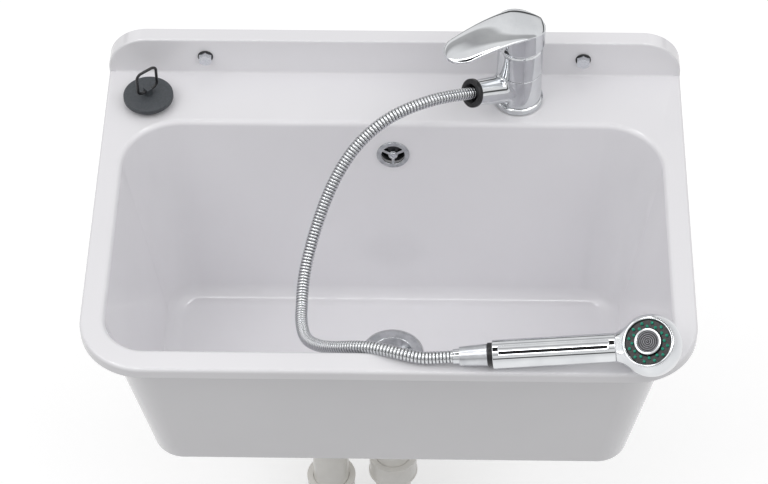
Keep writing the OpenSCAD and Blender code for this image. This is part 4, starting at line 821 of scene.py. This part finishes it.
overflow_knots = [
    (-23.7, -78.7, -85.5), (-42.9, -80.2, -101.5), (-62, -81.7, -117.5), (-79, -83, -134),
    (-91, -84, -155), (-96, -85, -179), (-95, -86, -203), (-88, -87, -226), (-80, -87.5, -245),
    (-74, -91.5, -265), (-65, -102, -281), (-53, -119, -292.5), (-39.6, -139.5, -296),
    (-32.2, -150.1, -296), (-24.7, -160.8, -296),
]
rib_section = [(0, 1), (0.15, 0.75), (0.3, 0.12), (0.42, 0), (0.58, 0), (0.7, 0.12), (0.85, 0.75)]
overflow_hose = wound_hose(
    "overflow_hose_ribbed", overflow_knots, 3.55, rib_section, 12.5, 1.1, 40, bore=10.6
)[0]
dress(overflow_hose, ribbed_polyethylene, "sink", "overflow_grey", "overflow_hose", sharp=80)

dress(turned("spigot_seal_ring", box(12.8, 18.5, 40, 41.5), spigot_frame, 0.4),
      grey_rubber, "sink", "grey_rubber", "overflow_hose_seal")
hose_nut = [(12.8, 41.5), (19, 41.5), (19, 48.5), (18, 48.6), (15, 55.5), (12.8, 55.5)]
dress(turned("overflow_hose_cone_nut", hose_nut, spigot_frame, 0.6), white_polypropylene, "sink",
      "pipe_white", "overflow_hose_nut")


# Drain pipes. White polypropylene: a tailpipe with a capped appliance branch, a U-bend that
# keeps water as a seal, and an outlet pipe into the wall with a rosette that slides on it.
branch_frame = shift(0, waste_y, -378) @ turn(51, "Y")
tailpipe = turned("tailpipe_moulding", box(18, 20, tailpipe_end, -320), waste_frame, 0.5)
carve(tailpipe, turned("branch", box(0, 9, 18.8, 66), branch_frame, 0.4, 72), "UNION")
carve(tailpipe, turned("branch_bore", box(0, 7.2, 10, 67), branch_frame, 0, 72))
dress(tailpipe, white_polypropylene, "sink", "pipe_white", "tailpipe")
paint_bore_shade(tailpipe, 18.2)
dress(turned("branch_seal_ring", box(7.2, 9.5, 66, 67.5), branch_frame, 0.3, 72), grey_rubber,
      "sink", "grey_rubber", "branch_seal")
cap = [(7.2, 67.5), (9.8, 67.5), (9.8, 74.5), (8.8, 75.5), (0, 75.5), (0, 73.5), (7.2, 73.5)]
dress(turned("branch_cap_moulding", cap, branch_frame, 0.4, 72), white_polypropylene, "sink",
      "pipe_white", "branch_cap")

inlet_end, outlet_end = -447, -487
slip_nut("nut_on_inlet", "inlet_nut", waste_frame, inlet_end, 30)
seal_ring("seal_on_inlet", "inlet_seal", waste_frame, inlet_end)

pipe_r, pipe_bore, bend_r = 20, 18, 35
outlet_x, outlet_z, bend_z = -2 * bend_r, -435, -509
outlet_frame = shift(outlet_x, waste_y, 0)
bend_line = [Vector((0, waste_y, -471 - 0.5 * k)) for k in range(0, 77, 4)]
for k in range(61):
    a = math.pi * k / 60
    bend_line.append(Vector((
        -bend_r + bend_r * math.cos(a), waste_y, bend_z - bend_r * math.sin(a)
    )))
bells = []
for low, high in ((-473, inlet_end), (bend_z, outlet_end)):
    bells.append([(pipe_bore, low), (23.5, low), (23.5, high), (20.3, high), (20.3, low + 2),
                  (pipe_bore, low + 2)])
bend_parts = [
    sweep("u_bend_pipe", bend_line, [pipe_r] * len(bend_line), 72, bore=pipe_bore),
    turned("seam", box(19.5, 20.45, bend_z, bend_z + 2), waste_frame, 0.3),
    turned("inlet_bell", bells[0], waste_frame, 0.6),
    turned("outlet_bell", bells[1], outlet_frame, 0.6),
]
dress(join("u_bend_moulding", bend_parts), white_polypropylene, "sink", "pipe_white", "trap_bend")
slip_nut("nut_on_outlet", "outlet_nut", outlet_frame, outlet_end, 30)
seal_ring("seal_on_outlet", "outlet_seal", outlet_frame, outlet_end)

# The outlet pipe rises, turns to the wall in an elbow and has a fine groove near the wall.
elbow_r = 30
outlet_line = [Vector((outlet_x, waste_y, z)) for z in range(-504, outlet_z - elbow_r, 3)]
for k in range(31):
    a = math.pi / 2 * k / 30
    outlet_line.append(Vector((
        outlet_x,
        waste_y + elbow_r - elbow_r * math.cos(a),
        outlet_z - elbow_r + elbow_r * math.sin(a),
    )))
for y in (-160, -120, -80, -40, -2.2, -2, 0, 0.2, 10, 25):
    outlet_line.append(Vector((outlet_x, y, outlet_z)))
outlet_radii = [19.6 if -2.1 < centre.y < 0.1 else pipe_r for centre in outlet_line]
outlet_pipe = sweep("outlet_pipe_moulding", outlet_line, outlet_radii, 72, bore=pipe_bore)
dress(outlet_pipe, white_polypropylene, "sink", "pipe_white", "outlet_pipe")
rosette = [(35, 0), (35, 2), (30, 7), (25, 11), (22.1, 12), (20.1, 12), (20.1, 10), (24, 9),
           (29, 5), (33, 0)]
dress(turned("wall_rosette_moulding", rosette, shift(outlet_x, 0, outlet_z) @ to_wall, 1.2),
      white_polypropylene, "rosette", "pipe_white", "wall_rosette")


# Plug. A stepped rubber disc with a post, through which a black coated wire bail swings. It is
# parked on the ledge.
plug_frame = shift(-255, -61, -22.7) @ turn(40, "Z")
plug_rubber = rubber("dark_grey_moulded_rubber", ("3B3F43", "474B50"), 2.5)
plug = turned(
    "plug_moulding",
    [(0, 0), (21, 0), (21, 5.5), (26, 5.5), (26, 10), (25, 11), (0, 11)], plug_frame, 0.7, 128,
)
carve(plug, prism("post", box(-3, 3, -4, 4), 10, 19, plug_frame), "UNION")
bail_z, wire_r = 15.5, 1.5
bail_hole = turned("bail_hole", box(0, wire_r + 0.07, -7, 7),
                   plug_frame @ shift(0, 0, bail_z) @ turn(90, "Y"), 0, 48)
carve(plug, bail_hole)
round_edges(plug, 0.5, 60)
dress(plug, plug_rubber, "plug", "plug_rubber", "plug", sharp=60)

coated_wire = moulded_plastic(
    "black_coated_wire", ("18181A", "232326"), (0.25, 0.4), 1.5, 4, 0.15
)
bail_line = []
for x, z, start in ((6, 6, 270), (6, 22, 0), (-6, 22, 90), (-6, 6, 180)):
    for i in range(13):
        a = math.radians(start + 90 * i / 12)
        bail_line.append(Vector((x + 6 * math.cos(a), 0, z + 6 * math.sin(a))))
bail_line += [Vector((-6 + 0.4 * i, 0, 0)) for i in range(1, 31)]
bail = sweep("bail_wire_loop", bail_line, [wire_r] * len(bail_line), 24,
             plug_frame @ shift(0, 0, bail_z))
dress(bail, coated_wire, "bail", "bail_wire", "plug_bail", sharp=80)


# Tap, below the lever. A brass column with a threaded shank stands in the ledge and is clamped
# from below. A chromed spout body turns on two O-rings round it, over a chromed base ring.
tap_frame = tap_at @ shift(0, 0, rim_z) @ turn(215, "Z")
tap_r = 23.5
turned_brass = metal("turned_brass", ("A8894C", "C2A465"), (0.25, 0.4), 3, 0.1)

dress(turned("tap_base_gasket_ring", box(16.5, 24.5, 0, 1), tap_frame, 0.3), black_rubber,
      "sink", "black_rubber", "tap_base_gasket")
base_ring = [(18, 1), (25.5, 1), (25.5, 6.5), (tap_r, 8), (18, 8)]
dress(turned("tap_base_ring_plated", base_ring, tap_frame, 0.7, 160), bright_chrome, "sink",
      "chrome", "tap_base_ring")

# The shank's thread shows below the ledge. Above it two inlets and the hose pass through a web,
# and a window in the column's side lets the hose out into the spout.
thread_r, thread_pitch, groove_r, column_r = 16.4, 1.5, 16.4, 17.9
o_rings_at = (11, 43)
column_line = [(13.4, -46), (15.6, -46)]
for i in range(28):
    z = -45 + thread_pitch * i
    column_line += [(15.5, z + 0.1), (thread_r, z + 0.65), (thread_r, z + 0.8), (15.5, z + 1.35)]
column_line += [(thread_r, -2), (thread_r, 1), (column_r, 1)]
for z in o_rings_at:
    column_line += [(column_r, z - 1.15), (groove_r, z - 1.15), (groove_r, z + 1.15),
                    (column_r, z + 1.15)]
column_line += [(column_r, 46), (12, 46), (12, 51.8), (0, 51.8), (0, 42), (14.5, 42), (14.5, 12),
                (0, 12), (0, 2), (13.4, 2)]
column = turned("tap_column_threaded", column_line, tap_frame, 0.15)
window_low, window_high, window_step = 17, 40, 7
window = []
for r, first_angle, step in ((11, 86, -window_step), (26, -68, window_step)):
    for i in range(23):
        a = math.radians(first_angle + step * i)
        window.append((r * math.cos(a), r * math.sin(a)))
carve(column, prism("window", window, window_low, window_high, tap_frame))
for hole_x, hole_y, hole_r in ((4.6, 6.8, 4.6), (4.6, -6.8, 4.6), (-5.8, 0, 7.2)):
    hole_frame = tap_frame @ shift(hole_x, hole_y, 0)
    carve(column, turned("web_hole", box(0, hole_r, 0, 13), hole_frame, 0, 48))
dress(column, turned_brass, "sink", "brass", "tap_column")
seals = [turned("o_ring", box(groove_r + 0.05, column_r, z - 1.1, z + 1.1), tap_frame, 0.7)
         for z in o_rings_at]
dress(join("spout_o_rings", seals), black_rubber, "sink", "black_rubber", "spout_seals")
dress(turned("shank_washer_ring", box(17.5, 28, -7, -4), tap_frame, 0.7), black_rubber,
      "sink", "black_rubber", "shank_washer")
dress(turned("shank_plate_stamped", box(17.5, 28, -8.5, -7), tap_frame, 0.4), bright_zinc,
      "sink", "zinc_steel", "shank_plate")
nut_points, nut_faces = hex_solid(46, -17.5, -8.5, chamfer_low=True)
back_nut = make_piece("back_nut_hexagon", nut_points, nut_faces, tap_frame)
carve(back_nut, turned("nut_bore", box(0, 16.5, -19, -7), tap_frame, 0))
dress(back_nut, turned_brass, "sink", "brass", "back_nut")

# The spout leaves the body in a soft fillet, tapers to its mouth and rises 22 degrees.
spout_start, spout_r, mouth_r, spout_length, way_r = 8, 16.4, 12.6, 62, 8.5
spout_z, spout_lean = 18, 68
to_tap = shift(0, 0, spout_z) @ turn(spout_lean, "Y")
from_tap = to_tap.inverted()
spout_frame = tap_frame @ to_tap
barrel = turned("spout_barrel", box(17.98, tap_r, 8.4, 45.6), tap_frame, 0.6, 160)
carve(barrel, turned("spout_way", box(0, way_r, 12, 40), spout_frame, 0, 48))


def on_spout(a, z, r=None):
    """A point round the spout's axis, on its cone where no radius is given."""
    if r is None:
        r = spout_r + (mouth_r - spout_r) * z / spout_length
    return to_tap @ Vector((r * math.cos(a), r * math.sin(a), z))


neck_sides, flare, foot_r = 96, 6.5, tap_r - 0.1
neck_points = []
for k in range(neck_sides):
    a = 2 * math.pi * k / neck_sides
    for step in range(200):
        along = spout_start + step * 0.15
        here = on_spout(a, along)
        if math.hypot(here.x, here.y) >= tap_r and here.x > 0:
            break
    middle = Vector((0, 0, along))
    spread = from_tap @ here - middle
    outward = (to_tap @ (middle + spread * (1 + flare / spread.length))) - here
    around = math.atan2(here.y, here.x) + outward.y / tap_r
    foot = Vector((
        foot_r * math.cos(around),
        foot_r * math.sin(around),
        min(max(here.z + outward.z, 9.2), 44.8),
    ))
    start = on_spout(a, along + flare)
    row = [foot] + bow(foot, here, start, [i / 10 for i in range(1, 11)])
    row += [on_spout(a, along + flare + (61.2 - along - flare) * i / 8) for i in range(1, 9)]
    for r, z in ((12.5, 61.6), (12.2, 61.9), (11.8, 62), (11, 62), (11, 47.6), (way_r, 47.6),
                 (way_r, 25), (way_r, 22)):
        row.append(on_spout(a, z, r))
    neck_points += row
neck_faces = []
for k in range(neck_sides):
    for i in range(len(row) - 1):
        a, b = k * len(row) + i, (k + 1) % neck_sides * len(row) + i
        neck_faces.append((a, b, b + 1, a + 1))
spout_neck = make_piece("spout_neck", neck_points, neck_faces, tap_frame)
dress(join("spout_body_cast", [barrel, spout_neck]), bright_chrome, "spout", "chrome",
      "spout_body", sharp=40)

black_acetal = moulded_plastic("black_acetal", ("141416", "1E1E21"), (0.28, 0.4), 1.48, 3, 0.1)
hose_socket = [(7, 48), (10.9, 48), (10.9, 62.02), (15, 62.02), (15, 66), (14, 67), (10.5, 67),
               (7, 62)]
dress(turned("hose_socket_moulding", hose_socket, spout_frame, 0.7, 128), black_acetal, "spout",
      "black_plastic", "spout_socket")


# Tap, above the spout. A chromed housing screws on the column and holds the ceramic cartridge
# under a brass nut. The lever grips the cartridge's stem and is held by a grub screw.
housing = [(12.1, 46), (tap_r, 46), (tap_r, 77), (22.5, 80), (19.3, 80), (19.3, 74), (17.6, 74),
           (17.6, 52), (12.1, 52)]
dress(turned("cartridge_housing_plated", housing, tap_frame, 0.8, 160), bright_chrome, "sink",
      "chrome", "cartridge_housing")
cream_acetal = moulded_plastic("cream_acetal", ("E2DECF", "EBE7DB"), (0.4, 0.5), 1.48, 6, 0.1)
grey_nylon = moulded_plastic(
    "grey_glass_filled_nylon", ("66686A", "77797B"), (0.45, 0.6), 1.53, 2, 0.3
)
ground_ceramic = moulded_plastic(
    "ground_alumina", ("ECEAE3", "F4F2ED"), (0.08, 0.16), 1.76, 1.5, 0.03
)
for node, finish in (
    ("cartridge", cream_acetal), ("fixed_disc", ground_ceramic), ("moving_disc", ground_ceramic),
    ("cartridge_turret", grey_nylon), ("turret_pin", bright_zinc), ("cartridge_nut", turned_brass),
    ("lever_stem", turned_brass), ("lever_screw", bright_zinc),
):
    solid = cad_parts[node]
    solid.data.materials.clear()
    solid.data.materials.append(finish)

lever_z, lever_reach = 81, 92
blade_sides = 80
tip_from, tip_length = 72, 20


def blade_top(x):
    """The blade's upper line: highest above 45 mm, falling to its back and to its tip."""
    if x < 45:
        return lever_z + 34 - 12 * ((45 - x) / 70) ** 2
    return lever_z + 34 - 4 * ((x - 45) / 47) ** 2


def blade_low(x):
    """The blade's lower line, 7 mm down and closer towards the tip."""
    return blade_top(x) - 7 * (1 - 0.35 * max(x, 0) / lever_reach)


def blade_middle(x):
    """The height halfway between the blade's two lines."""
    return (blade_top(x) + blade_low(x)) / 2


def blade_half(x):
    """Half the blade's width: round over the cap, tapered, and round at its tip."""
    if x < 4:
        return math.sqrt(max(24.8**2 - x * x, 1))
    if x < tip_from:
        return 24.5 - 5.5 * (x - 4) / 68
    return 19 * math.sqrt(max(1 - ((x - tip_from) / tip_length) ** 2, 0.002))


def blade_ring(x):
    """The blade's section, an oval with full sides."""
    half, thick = blade_half(x), (blade_top(x) - blade_low(x)) / 2
    ring = []
    for k in range(blade_sides):
        a = 2 * math.pi * k / blade_sides
        c, s = math.cos(a), math.sin(a)
        ring.append((
            x,
            half * math.copysign(abs(c) ** 0.6, c),
            blade_middle(x) + thick * math.copysign(abs(s) ** 0.8, s),
        ))
    return ring


stations = [-24.75 * c for s, c in quarter(16)]
stations += [4 + 2 * i for i in range(35)]
stations += [tip_from + tip_length * s for s, c in quarter(16)]
stations[-1] = 91.98
lever = skin(
    "lever_cast",
    [blade_ring(x) for x in stations],
    (-24.85, 0, blade_middle(-25)),
    (lever_reach, 0, blade_middle(lever_reach)),
    tap_frame,
)

under_arch = [(26, lever_z - 1)]
under_arch += [(x, blade_top(x) - 2) for x in range(26, -27, -2)] + [(-26, lever_z - 1)]
cap = [(0, lever_z), (23.8, lever_z), (25, lever_z + 3), (25, 120), (0, 120)]
lever_cap = turned("lever_cap", cap, tap_frame, 0.8, 160)
arch = prism("under_arch", under_arch, -26, 26, tap_frame @ turn(90, "X"))
carve(lever_cap, arch, "INTERSECT")
carve(lever, lever_cap, "UNION")
carve(lever, turned("cap_hollow", box(0, 22.4, lever_z - 1, 97), tap_frame, 0, 96))
socket = turned("stem_socket", box(0, 8, 85.5, 98), tap_frame, 0.3, 48)
carve(socket, prism("stem_way", box(-4.1, 4.1, -4.1, 4.1), 85, 93.1, tap_frame))
carve(socket, prism("screw_web", box(4.2, 22.8, -4, 4), 85.5, 97.2, tap_frame), "UNION")
lever = join("lever_cast_whole", [lever, socket])
grub_hole = [(0, 4), (2.6, 4), (2.6, 24.4), (3.1, 25.1), (3.1, 26), (0, 26)]
grub_frame = tap_frame @ shift(0, 0, 88.5) @ turn(90, "Y")
carve(lever, turned("grub_hole", grub_hole, grub_frame, 0, 48))
dress(lever, bright_chrome, "lever", "chrome", "lever", sharp=42)


# Hand spray. A chromed head and handle, moulded in ABS and plated, joined by a fine seam. The
# handle has a long thumb recess, and a black ring lets the hose end swivel.
head_line = [(0, -head_r)]
for i in range(1, 43):
    a = math.radians(3 * i)
    head_line.append((head_r * math.sin(a), -head_r * math.cos(a)))
neck_from, neck_corner, neck_to = Vector((24.27, 17.63)), Vector((18.2, 23.9)), Vector((15.9, 28.2))
head_line += bow(neck_from, neck_corner, neck_to, [i / 10 for i in range(11)])
head_line += [(14.3, 32.2), (14, 32.75), (13.6, 33), (0, 33)]
head = turned("spray_head_plated", head_line, grip_frame, 0, 160)
face_frame = spray_frame @ turn(8, "Y")
face_cut = [(0, 11.48), (23.1, 11.48), (23.1, 16.58), (60, 16.58), (60, 60), (0, 60)]
carve(head, turned("face_cut", face_cut, face_frame, 0, 160))
dress(head, bright_chrome, "hand_spray", "chrome", "spray_head", sharp=40)

handle = turned(
    "spray_handle_plated",
    [(0, 33.4), (handle_r, 33.4), (handle_r, grip_end), (8, grip_end), (8, 166), (6.4, 166),
     (6.4, 160), (0, 160)],
    grip_frame, 0.6, 160,
)
# The thumb recess is hollow across, which gathers what it mirrors into a dark line along it.
hollow_r, hollow_low, hollow_from, hollow_to = 10.7, 11.6, 38.4, 145
hollow_shrink, hollow_end = 0.955, 0.6
hollow = [(0, hollow_from), (hollow_shrink * hollow_r, hollow_from + hollow_end)]
for s, c in quarter(8):
    r = hollow_r * (hollow_shrink + (1 - hollow_shrink) * s)
    hollow.append((r, hollow_from + hollow_end + 4.4 * (1 - c)))
hollow += [(r, hollow_from + hollow_to - at) for r, at in reversed(hollow)]
hollow_frame = spray_frame @ shift(0, 0, hollow_r + hollow_low) @ turn(90, "Y")
carve(handle, turned("thumb_hollow", hollow, hollow_frame, 0, 240))
round_edges(handle, 0.3, 40)
dress(handle, bright_chrome, "hand_spray", "chrome", "spray_handle", sharp=50)
swivel_ring = box(8.1, 11.5, grip_end + 0.2, grip_end + swivel_length - 0.2)
dress(turned("swivel_ring_moulding", swivel_ring, grip_frame, 0.5), black_acetal, "hand_spray",
      "black_plastic", "swivel_ring")


# Spray face. A chromed bezel holds a black plate with two rows of teal silicone nozzles round a
# bright collar, which slides to change the jet and carries a dark mesh.
bezel = [(22, 11.6), (23, 11.6), (23, 16.55), (25, 16.6), (24.2, 17.5), (23.1, 17.8),
         (22.3, 17.6), (22, 17.1)]
dress(turned("face_bezel_plated", bezel, face_frame, 0.3, 160), bright_chrome, "hand_spray",
      "chrome", "face_bezel")
black_plate = moulded_plastic(
    "black_plate_abs", ("0B0B0C", "131315"), (0.12, 0.2), 1.47, 5, 0.06
)
plate_z = 14.98
plate = [(12.9, plate_z - 2.5), (21.9, plate_z - 2.5), (21.9, plate_z - 0.2), (21, plate_z),
         (13.6, plate_z), (12.9, plate_z - 0.3)]
dress(turned("nozzle_plate_moulding", plate, face_frame, 0.3, 160), black_plate, "hand_spray",
      "black_plastic", "nozzle_plate")
teal_silicone = rubber("teal_silicone", ("0A8A70", "129C80"), 1.5)
nozzle = [
    (r, plate_z + rise)
    for r, rise in ((0, 0), (1.5, 0), (1.45, 0.9), (1.25, 2.3), (1.05, 2.6), (0.35, 2.6), (0.35, 2),
                    (0, 2))
]
nozzles = []
for row, r in ((0, 15.3), (0.5, 18.7)):
    for k in range(12):
        here = face_frame @ turn(30 * (k + row), "Z") @ shift(r, 0, 0)
        nozzles.append(turned("nozzle", nozzle, here, 0.15, 24))
dress(join("silicone_nozzles", nozzles), teal_silicone, "hand_spray", "nozzle_green",
      "spray_nozzles")
collar = [(10.4, 10.9), (14.7, 10.9), (14.7, 12.35), (12.7, 12.4), (12.7, 19.98), (10.4, 19.98)]
dress(turned("aerator_collar_plated", collar, face_frame, 0.7, 128), bright_chrome, "diverter",
      "chrome", "aerator_collar")

# Woven steel mesh, blackened, with wires 0.5 mm apart. The rings pressed into it are about 1 mm
# apart. Their grooves are 1.5 mm apart here, and their shade, painted into the tone, 1.9 mm apart,
# so that they show at all.
dark_mesh = new_finish("blackened_woven_mesh")
wire_pitch, drawn_pitch, mesh_z = 0.5, 1.9, 18.98
mesh_at = add_node(dark_mesh, "ShaderNodeTexCoord").outputs["Object"]
wires_across, wires_up = (
    add_node(
        dark_mesh,
        "ShaderNodeTexWave",
        {"Vector": mesh_at, "Scale": 2 * math.pi / 20 / (wire_pitch * MM)},
        wave_type="BANDS",
        bands_direction=axis,
    ).outputs["Fac"]
    for axis in "XY"
)
weave = maths(dark_mesh, "MULTIPLY", wires_across, wires_up)
mesh_arm = add_node(
    dark_mesh,
    "ShaderNodeVectorMath",
    {0: mesh_at, 1: face_frame @ Vector((0, 0, mesh_z)) * MM},
    operation="SUBTRACT",
).outputs["Vector"]
mesh_radius = add_node(
    dark_mesh, "ShaderNodeVectorMath", {0: mesh_arm}, operation="LENGTH"
).outputs["Value"]
ring_turn = maths(dark_mesh, "MULTIPLY", mesh_radius, 2 * math.pi / (drawn_pitch * MM))
painted_ring_shade = add_node(
    dark_mesh,
    "ShaderNodeMapRange",
    {"Value": maths(dark_mesh, "COSINE", ring_turn), "From Min": -1.0, "To Min": 0.0},
).outputs["Result"]
weave_and_ring_shade = maths(dark_mesh, "MULTIPLY", maths(dark_mesh, "ADD", weave, 0.5), painted_ring_shade)
# Painted shade: the tone darkens where the ring wave is low, and rises with the weave.
mesh_tone = add_node(dark_mesh, "ShaderNodeValToRGB", {"Fac": weave_and_ring_shade})
mesh_tone.color_ramp.elements[0].color = linear("1C1C1E")
mesh_tone.color_ramp.elements[1].color = linear("B4B4B8")
mesh_bump = add_node(
    dark_mesh, "ShaderNodeBump", {"Height": weave, "Strength": 0.5, "Distance": 0.3 * MM}
).outputs["Normal"]
mesh_gloss = add_node(
    dark_mesh, "ShaderNodeMapRange", {"Value": weave, "To Min": 0.5, "To Max": 0.3}
).outputs["Result"]
mesh_shader = add_node(
    dark_mesh,
    "ShaderNodeBsdfPrincipled",
    {
        "Base Color": mesh_tone.outputs["Color"],
        "Metallic": 0.8,
        "Roughness": mesh_gloss,
        "Normal": mesh_bump,
    },
)
add_node(dark_mesh, "ShaderNodeOutputMaterial", {"Surface": mesh_shader.outputs["BSDF"]})
mesh_line = [(0, mesh_z - 1.2), (10.4, mesh_z - 1.2), (10.4, mesh_z)]
for r in (9.2, 7.7, 6.2, 4.7, 3.2, 1.7):
    mesh_line += [(r + 0.35, mesh_z), (r + 0.25, mesh_z - 0.5), (r - 0.25, mesh_z - 0.5),
                  (r - 0.35, mesh_z)]
mesh_line.append((0, mesh_z))
dress(turned("aerator_mesh_disc", mesh_line, face_frame, 0.1, 128), dark_mesh, "diverter",
      "mesh_dark", "aerator_mesh")


# Floor and light. A plain white floor under the lowest point of the U-bend, a soft lamp high on
# each side, and an even sky. To the camera, and in gloss, the floor and the sky are white.
floor_finish = new_finish("white_paper_floor")
paper_at = add_node(floor_finish, "ShaderNodeTexCoord").outputs["Object"]
paper = add_node(
    floor_finish, "ShaderNodeTexNoise", {"Vector": paper_at, "Scale": 3}
).outputs["Fac"]
paper_tone = add_node(floor_finish, "ShaderNodeValToRGB", {"Fac": paper})
paper_tone.color_ramp.elements[0].color = linear("F4F4F4")
paper_tone.color_ramp.elements[1].color = linear("F6F6F6")
rays = add_node(floor_finish, "ShaderNodeLightPath").outputs
seen_rays = maths(floor_finish, "MAXIMUM", rays["Is Camera Ray"], rays["Is Glossy Ray"])
seen_rays = maths(floor_finish, "MAXIMUM", seen_rays, rays["Is Transmission Ray"])
# What the floor throws back on the object is that of a grey studio floor.
paper_colour = mixed(floor_finish, seen_rays, linear("A8A8A8"), paper_tone.outputs["Color"])
paper_shader = add_node(floor_finish, "ShaderNodeBsdfDiffuse", {"Color": paper_colour})
paper_glow = add_node(
    floor_finish,
    "ShaderNodeEmission",
    {"Color": (1, 1, 1, 1), "Strength": maths(floor_finish, "MULTIPLY", seen_rays, 0.28)},
)
paper_whole = add_node(
    floor_finish,
    "ShaderNodeAddShader",
    {0: paper_shader.outputs["BSDF"], 1: paper_glow.outputs["Emission"]},
)
add_node(floor_finish, "ShaderNodeOutputMaterial", {"Surface": paper_whole.outputs["Shader"]})
floor_half, floor_level = 20000, -565
floor = make_piece(
    "floor",
    [(x, y, floor_level) for x, y in box(-floor_half, floor_half, -floor_half, floor_half)],
    [(0, 1, 2, 3)],
)
floor.data.materials.append(floor_finish)

sky = bpy.data.worlds.new("even_sky")
sky.use_nodes = True
sky.node_tree.nodes.clear()
sky_at = add_node(sky, "ShaderNodeTexCoord").outputs["Generated"]
sky_axes = add_node(sky, "ShaderNodeSeparateXYZ", {"Vector": sky_at}).outputs
sky_height = add_node(
    sky, "ShaderNodeMapRange", {"Value": sky_axes["Z"], "From Min": 0.0, "From Max": 1.0}
).outputs["Result"]
sky_light = add_node(sky, "ShaderNodeValToRGB", {"Fac": sky_height})
sky_light.color_ramp.elements[0].color = (0.42, 0.42, 0.42, 1)
sky_light.color_ramp.elements[1].color = (0.85, 0.85, 0.85, 1)
# Gloss sees a white room with darker bands round its side, which draw the chrome's edges, and
# a ring of tube lamps high up, which draws thin bright lines along the acrylic's edges.
room = add_node(sky, "ShaderNodeValToRGB", {"Fac": sky_height})
room.color_ramp.elements[0].color = (0.95, 0.95, 0.95, 1)
room.color_ramp.elements[1].color = (0.03, 0.03, 0.03, 1)
room_bands = (
    (0.1, 0.85), (0.14, 0.1), (0.26, 0.08), (0.3, 0.9), (0.6, 1.0), (0.64, 0.55), (0.74, 0.5),
    (0.78, 1.0), (0.905, 1.0), (0.91, 7.0), (0.935, 7.0), (0.94, 0.9), (0.95, 0.03),
)
for at, tone in room_bands:
    stop = room.color_ramp.elements.new(at)
    stop.color = (tone, tone, tone, 1)
sky_rays = add_node(sky, "ShaderNodeLightPath").outputs
sky_gloss = maths(sky, "MAXIMUM", sky_rays["Is Glossy Ray"], sky_rays["Is Transmission Ray"])
sky_by_gloss = mixed(sky, sky_gloss, sky_light.outputs["Color"], room.outputs["Color"])
sky_colour = mixed(sky, sky_rays["Is Camera Ray"], sky_by_gloss, (1, 1, 1, 1))
sky_shader = add_node(sky, "ShaderNodeBackground", {"Color": sky_colour, "Strength": 1.0})
add_node(sky, "ShaderNodeOutputWorld", {"Surface": sky_shader.outputs["Background"]})
bpy.context.scene.world = sky

lamp_wide, lamp_deep, lamp_y, lamp_z = 2.4, 1.6, -0.9, 1.9
for lamp_x, lamp_power in ((-1.6, 15), (1.6, 12)):
    lamp_data = bpy.data.lights.new("soft_lamp", "AREA")
    lamp_data.shape = "RECTANGLE"
    lamp_data.size, lamp_data.size_y = lamp_wide, lamp_deep
    lamp_data.energy = lamp_power
    lamp = bpy.data.objects.new("soft_lamp", lamp_data)
    lamp.location = (lamp_x, lamp_y, lamp_z)
    lamp_aim = Vector((0, -0.2, -0.1)) - lamp.location
    lamp.rotation_euler = lamp_aim.to_track_quat("-Z", "Y").to_euler()
    lamp.visible_camera = False
    bpy.context.scene.collection.objects.link(lamp)

bpy.context.scene.view_settings.view_transform = "Standard"
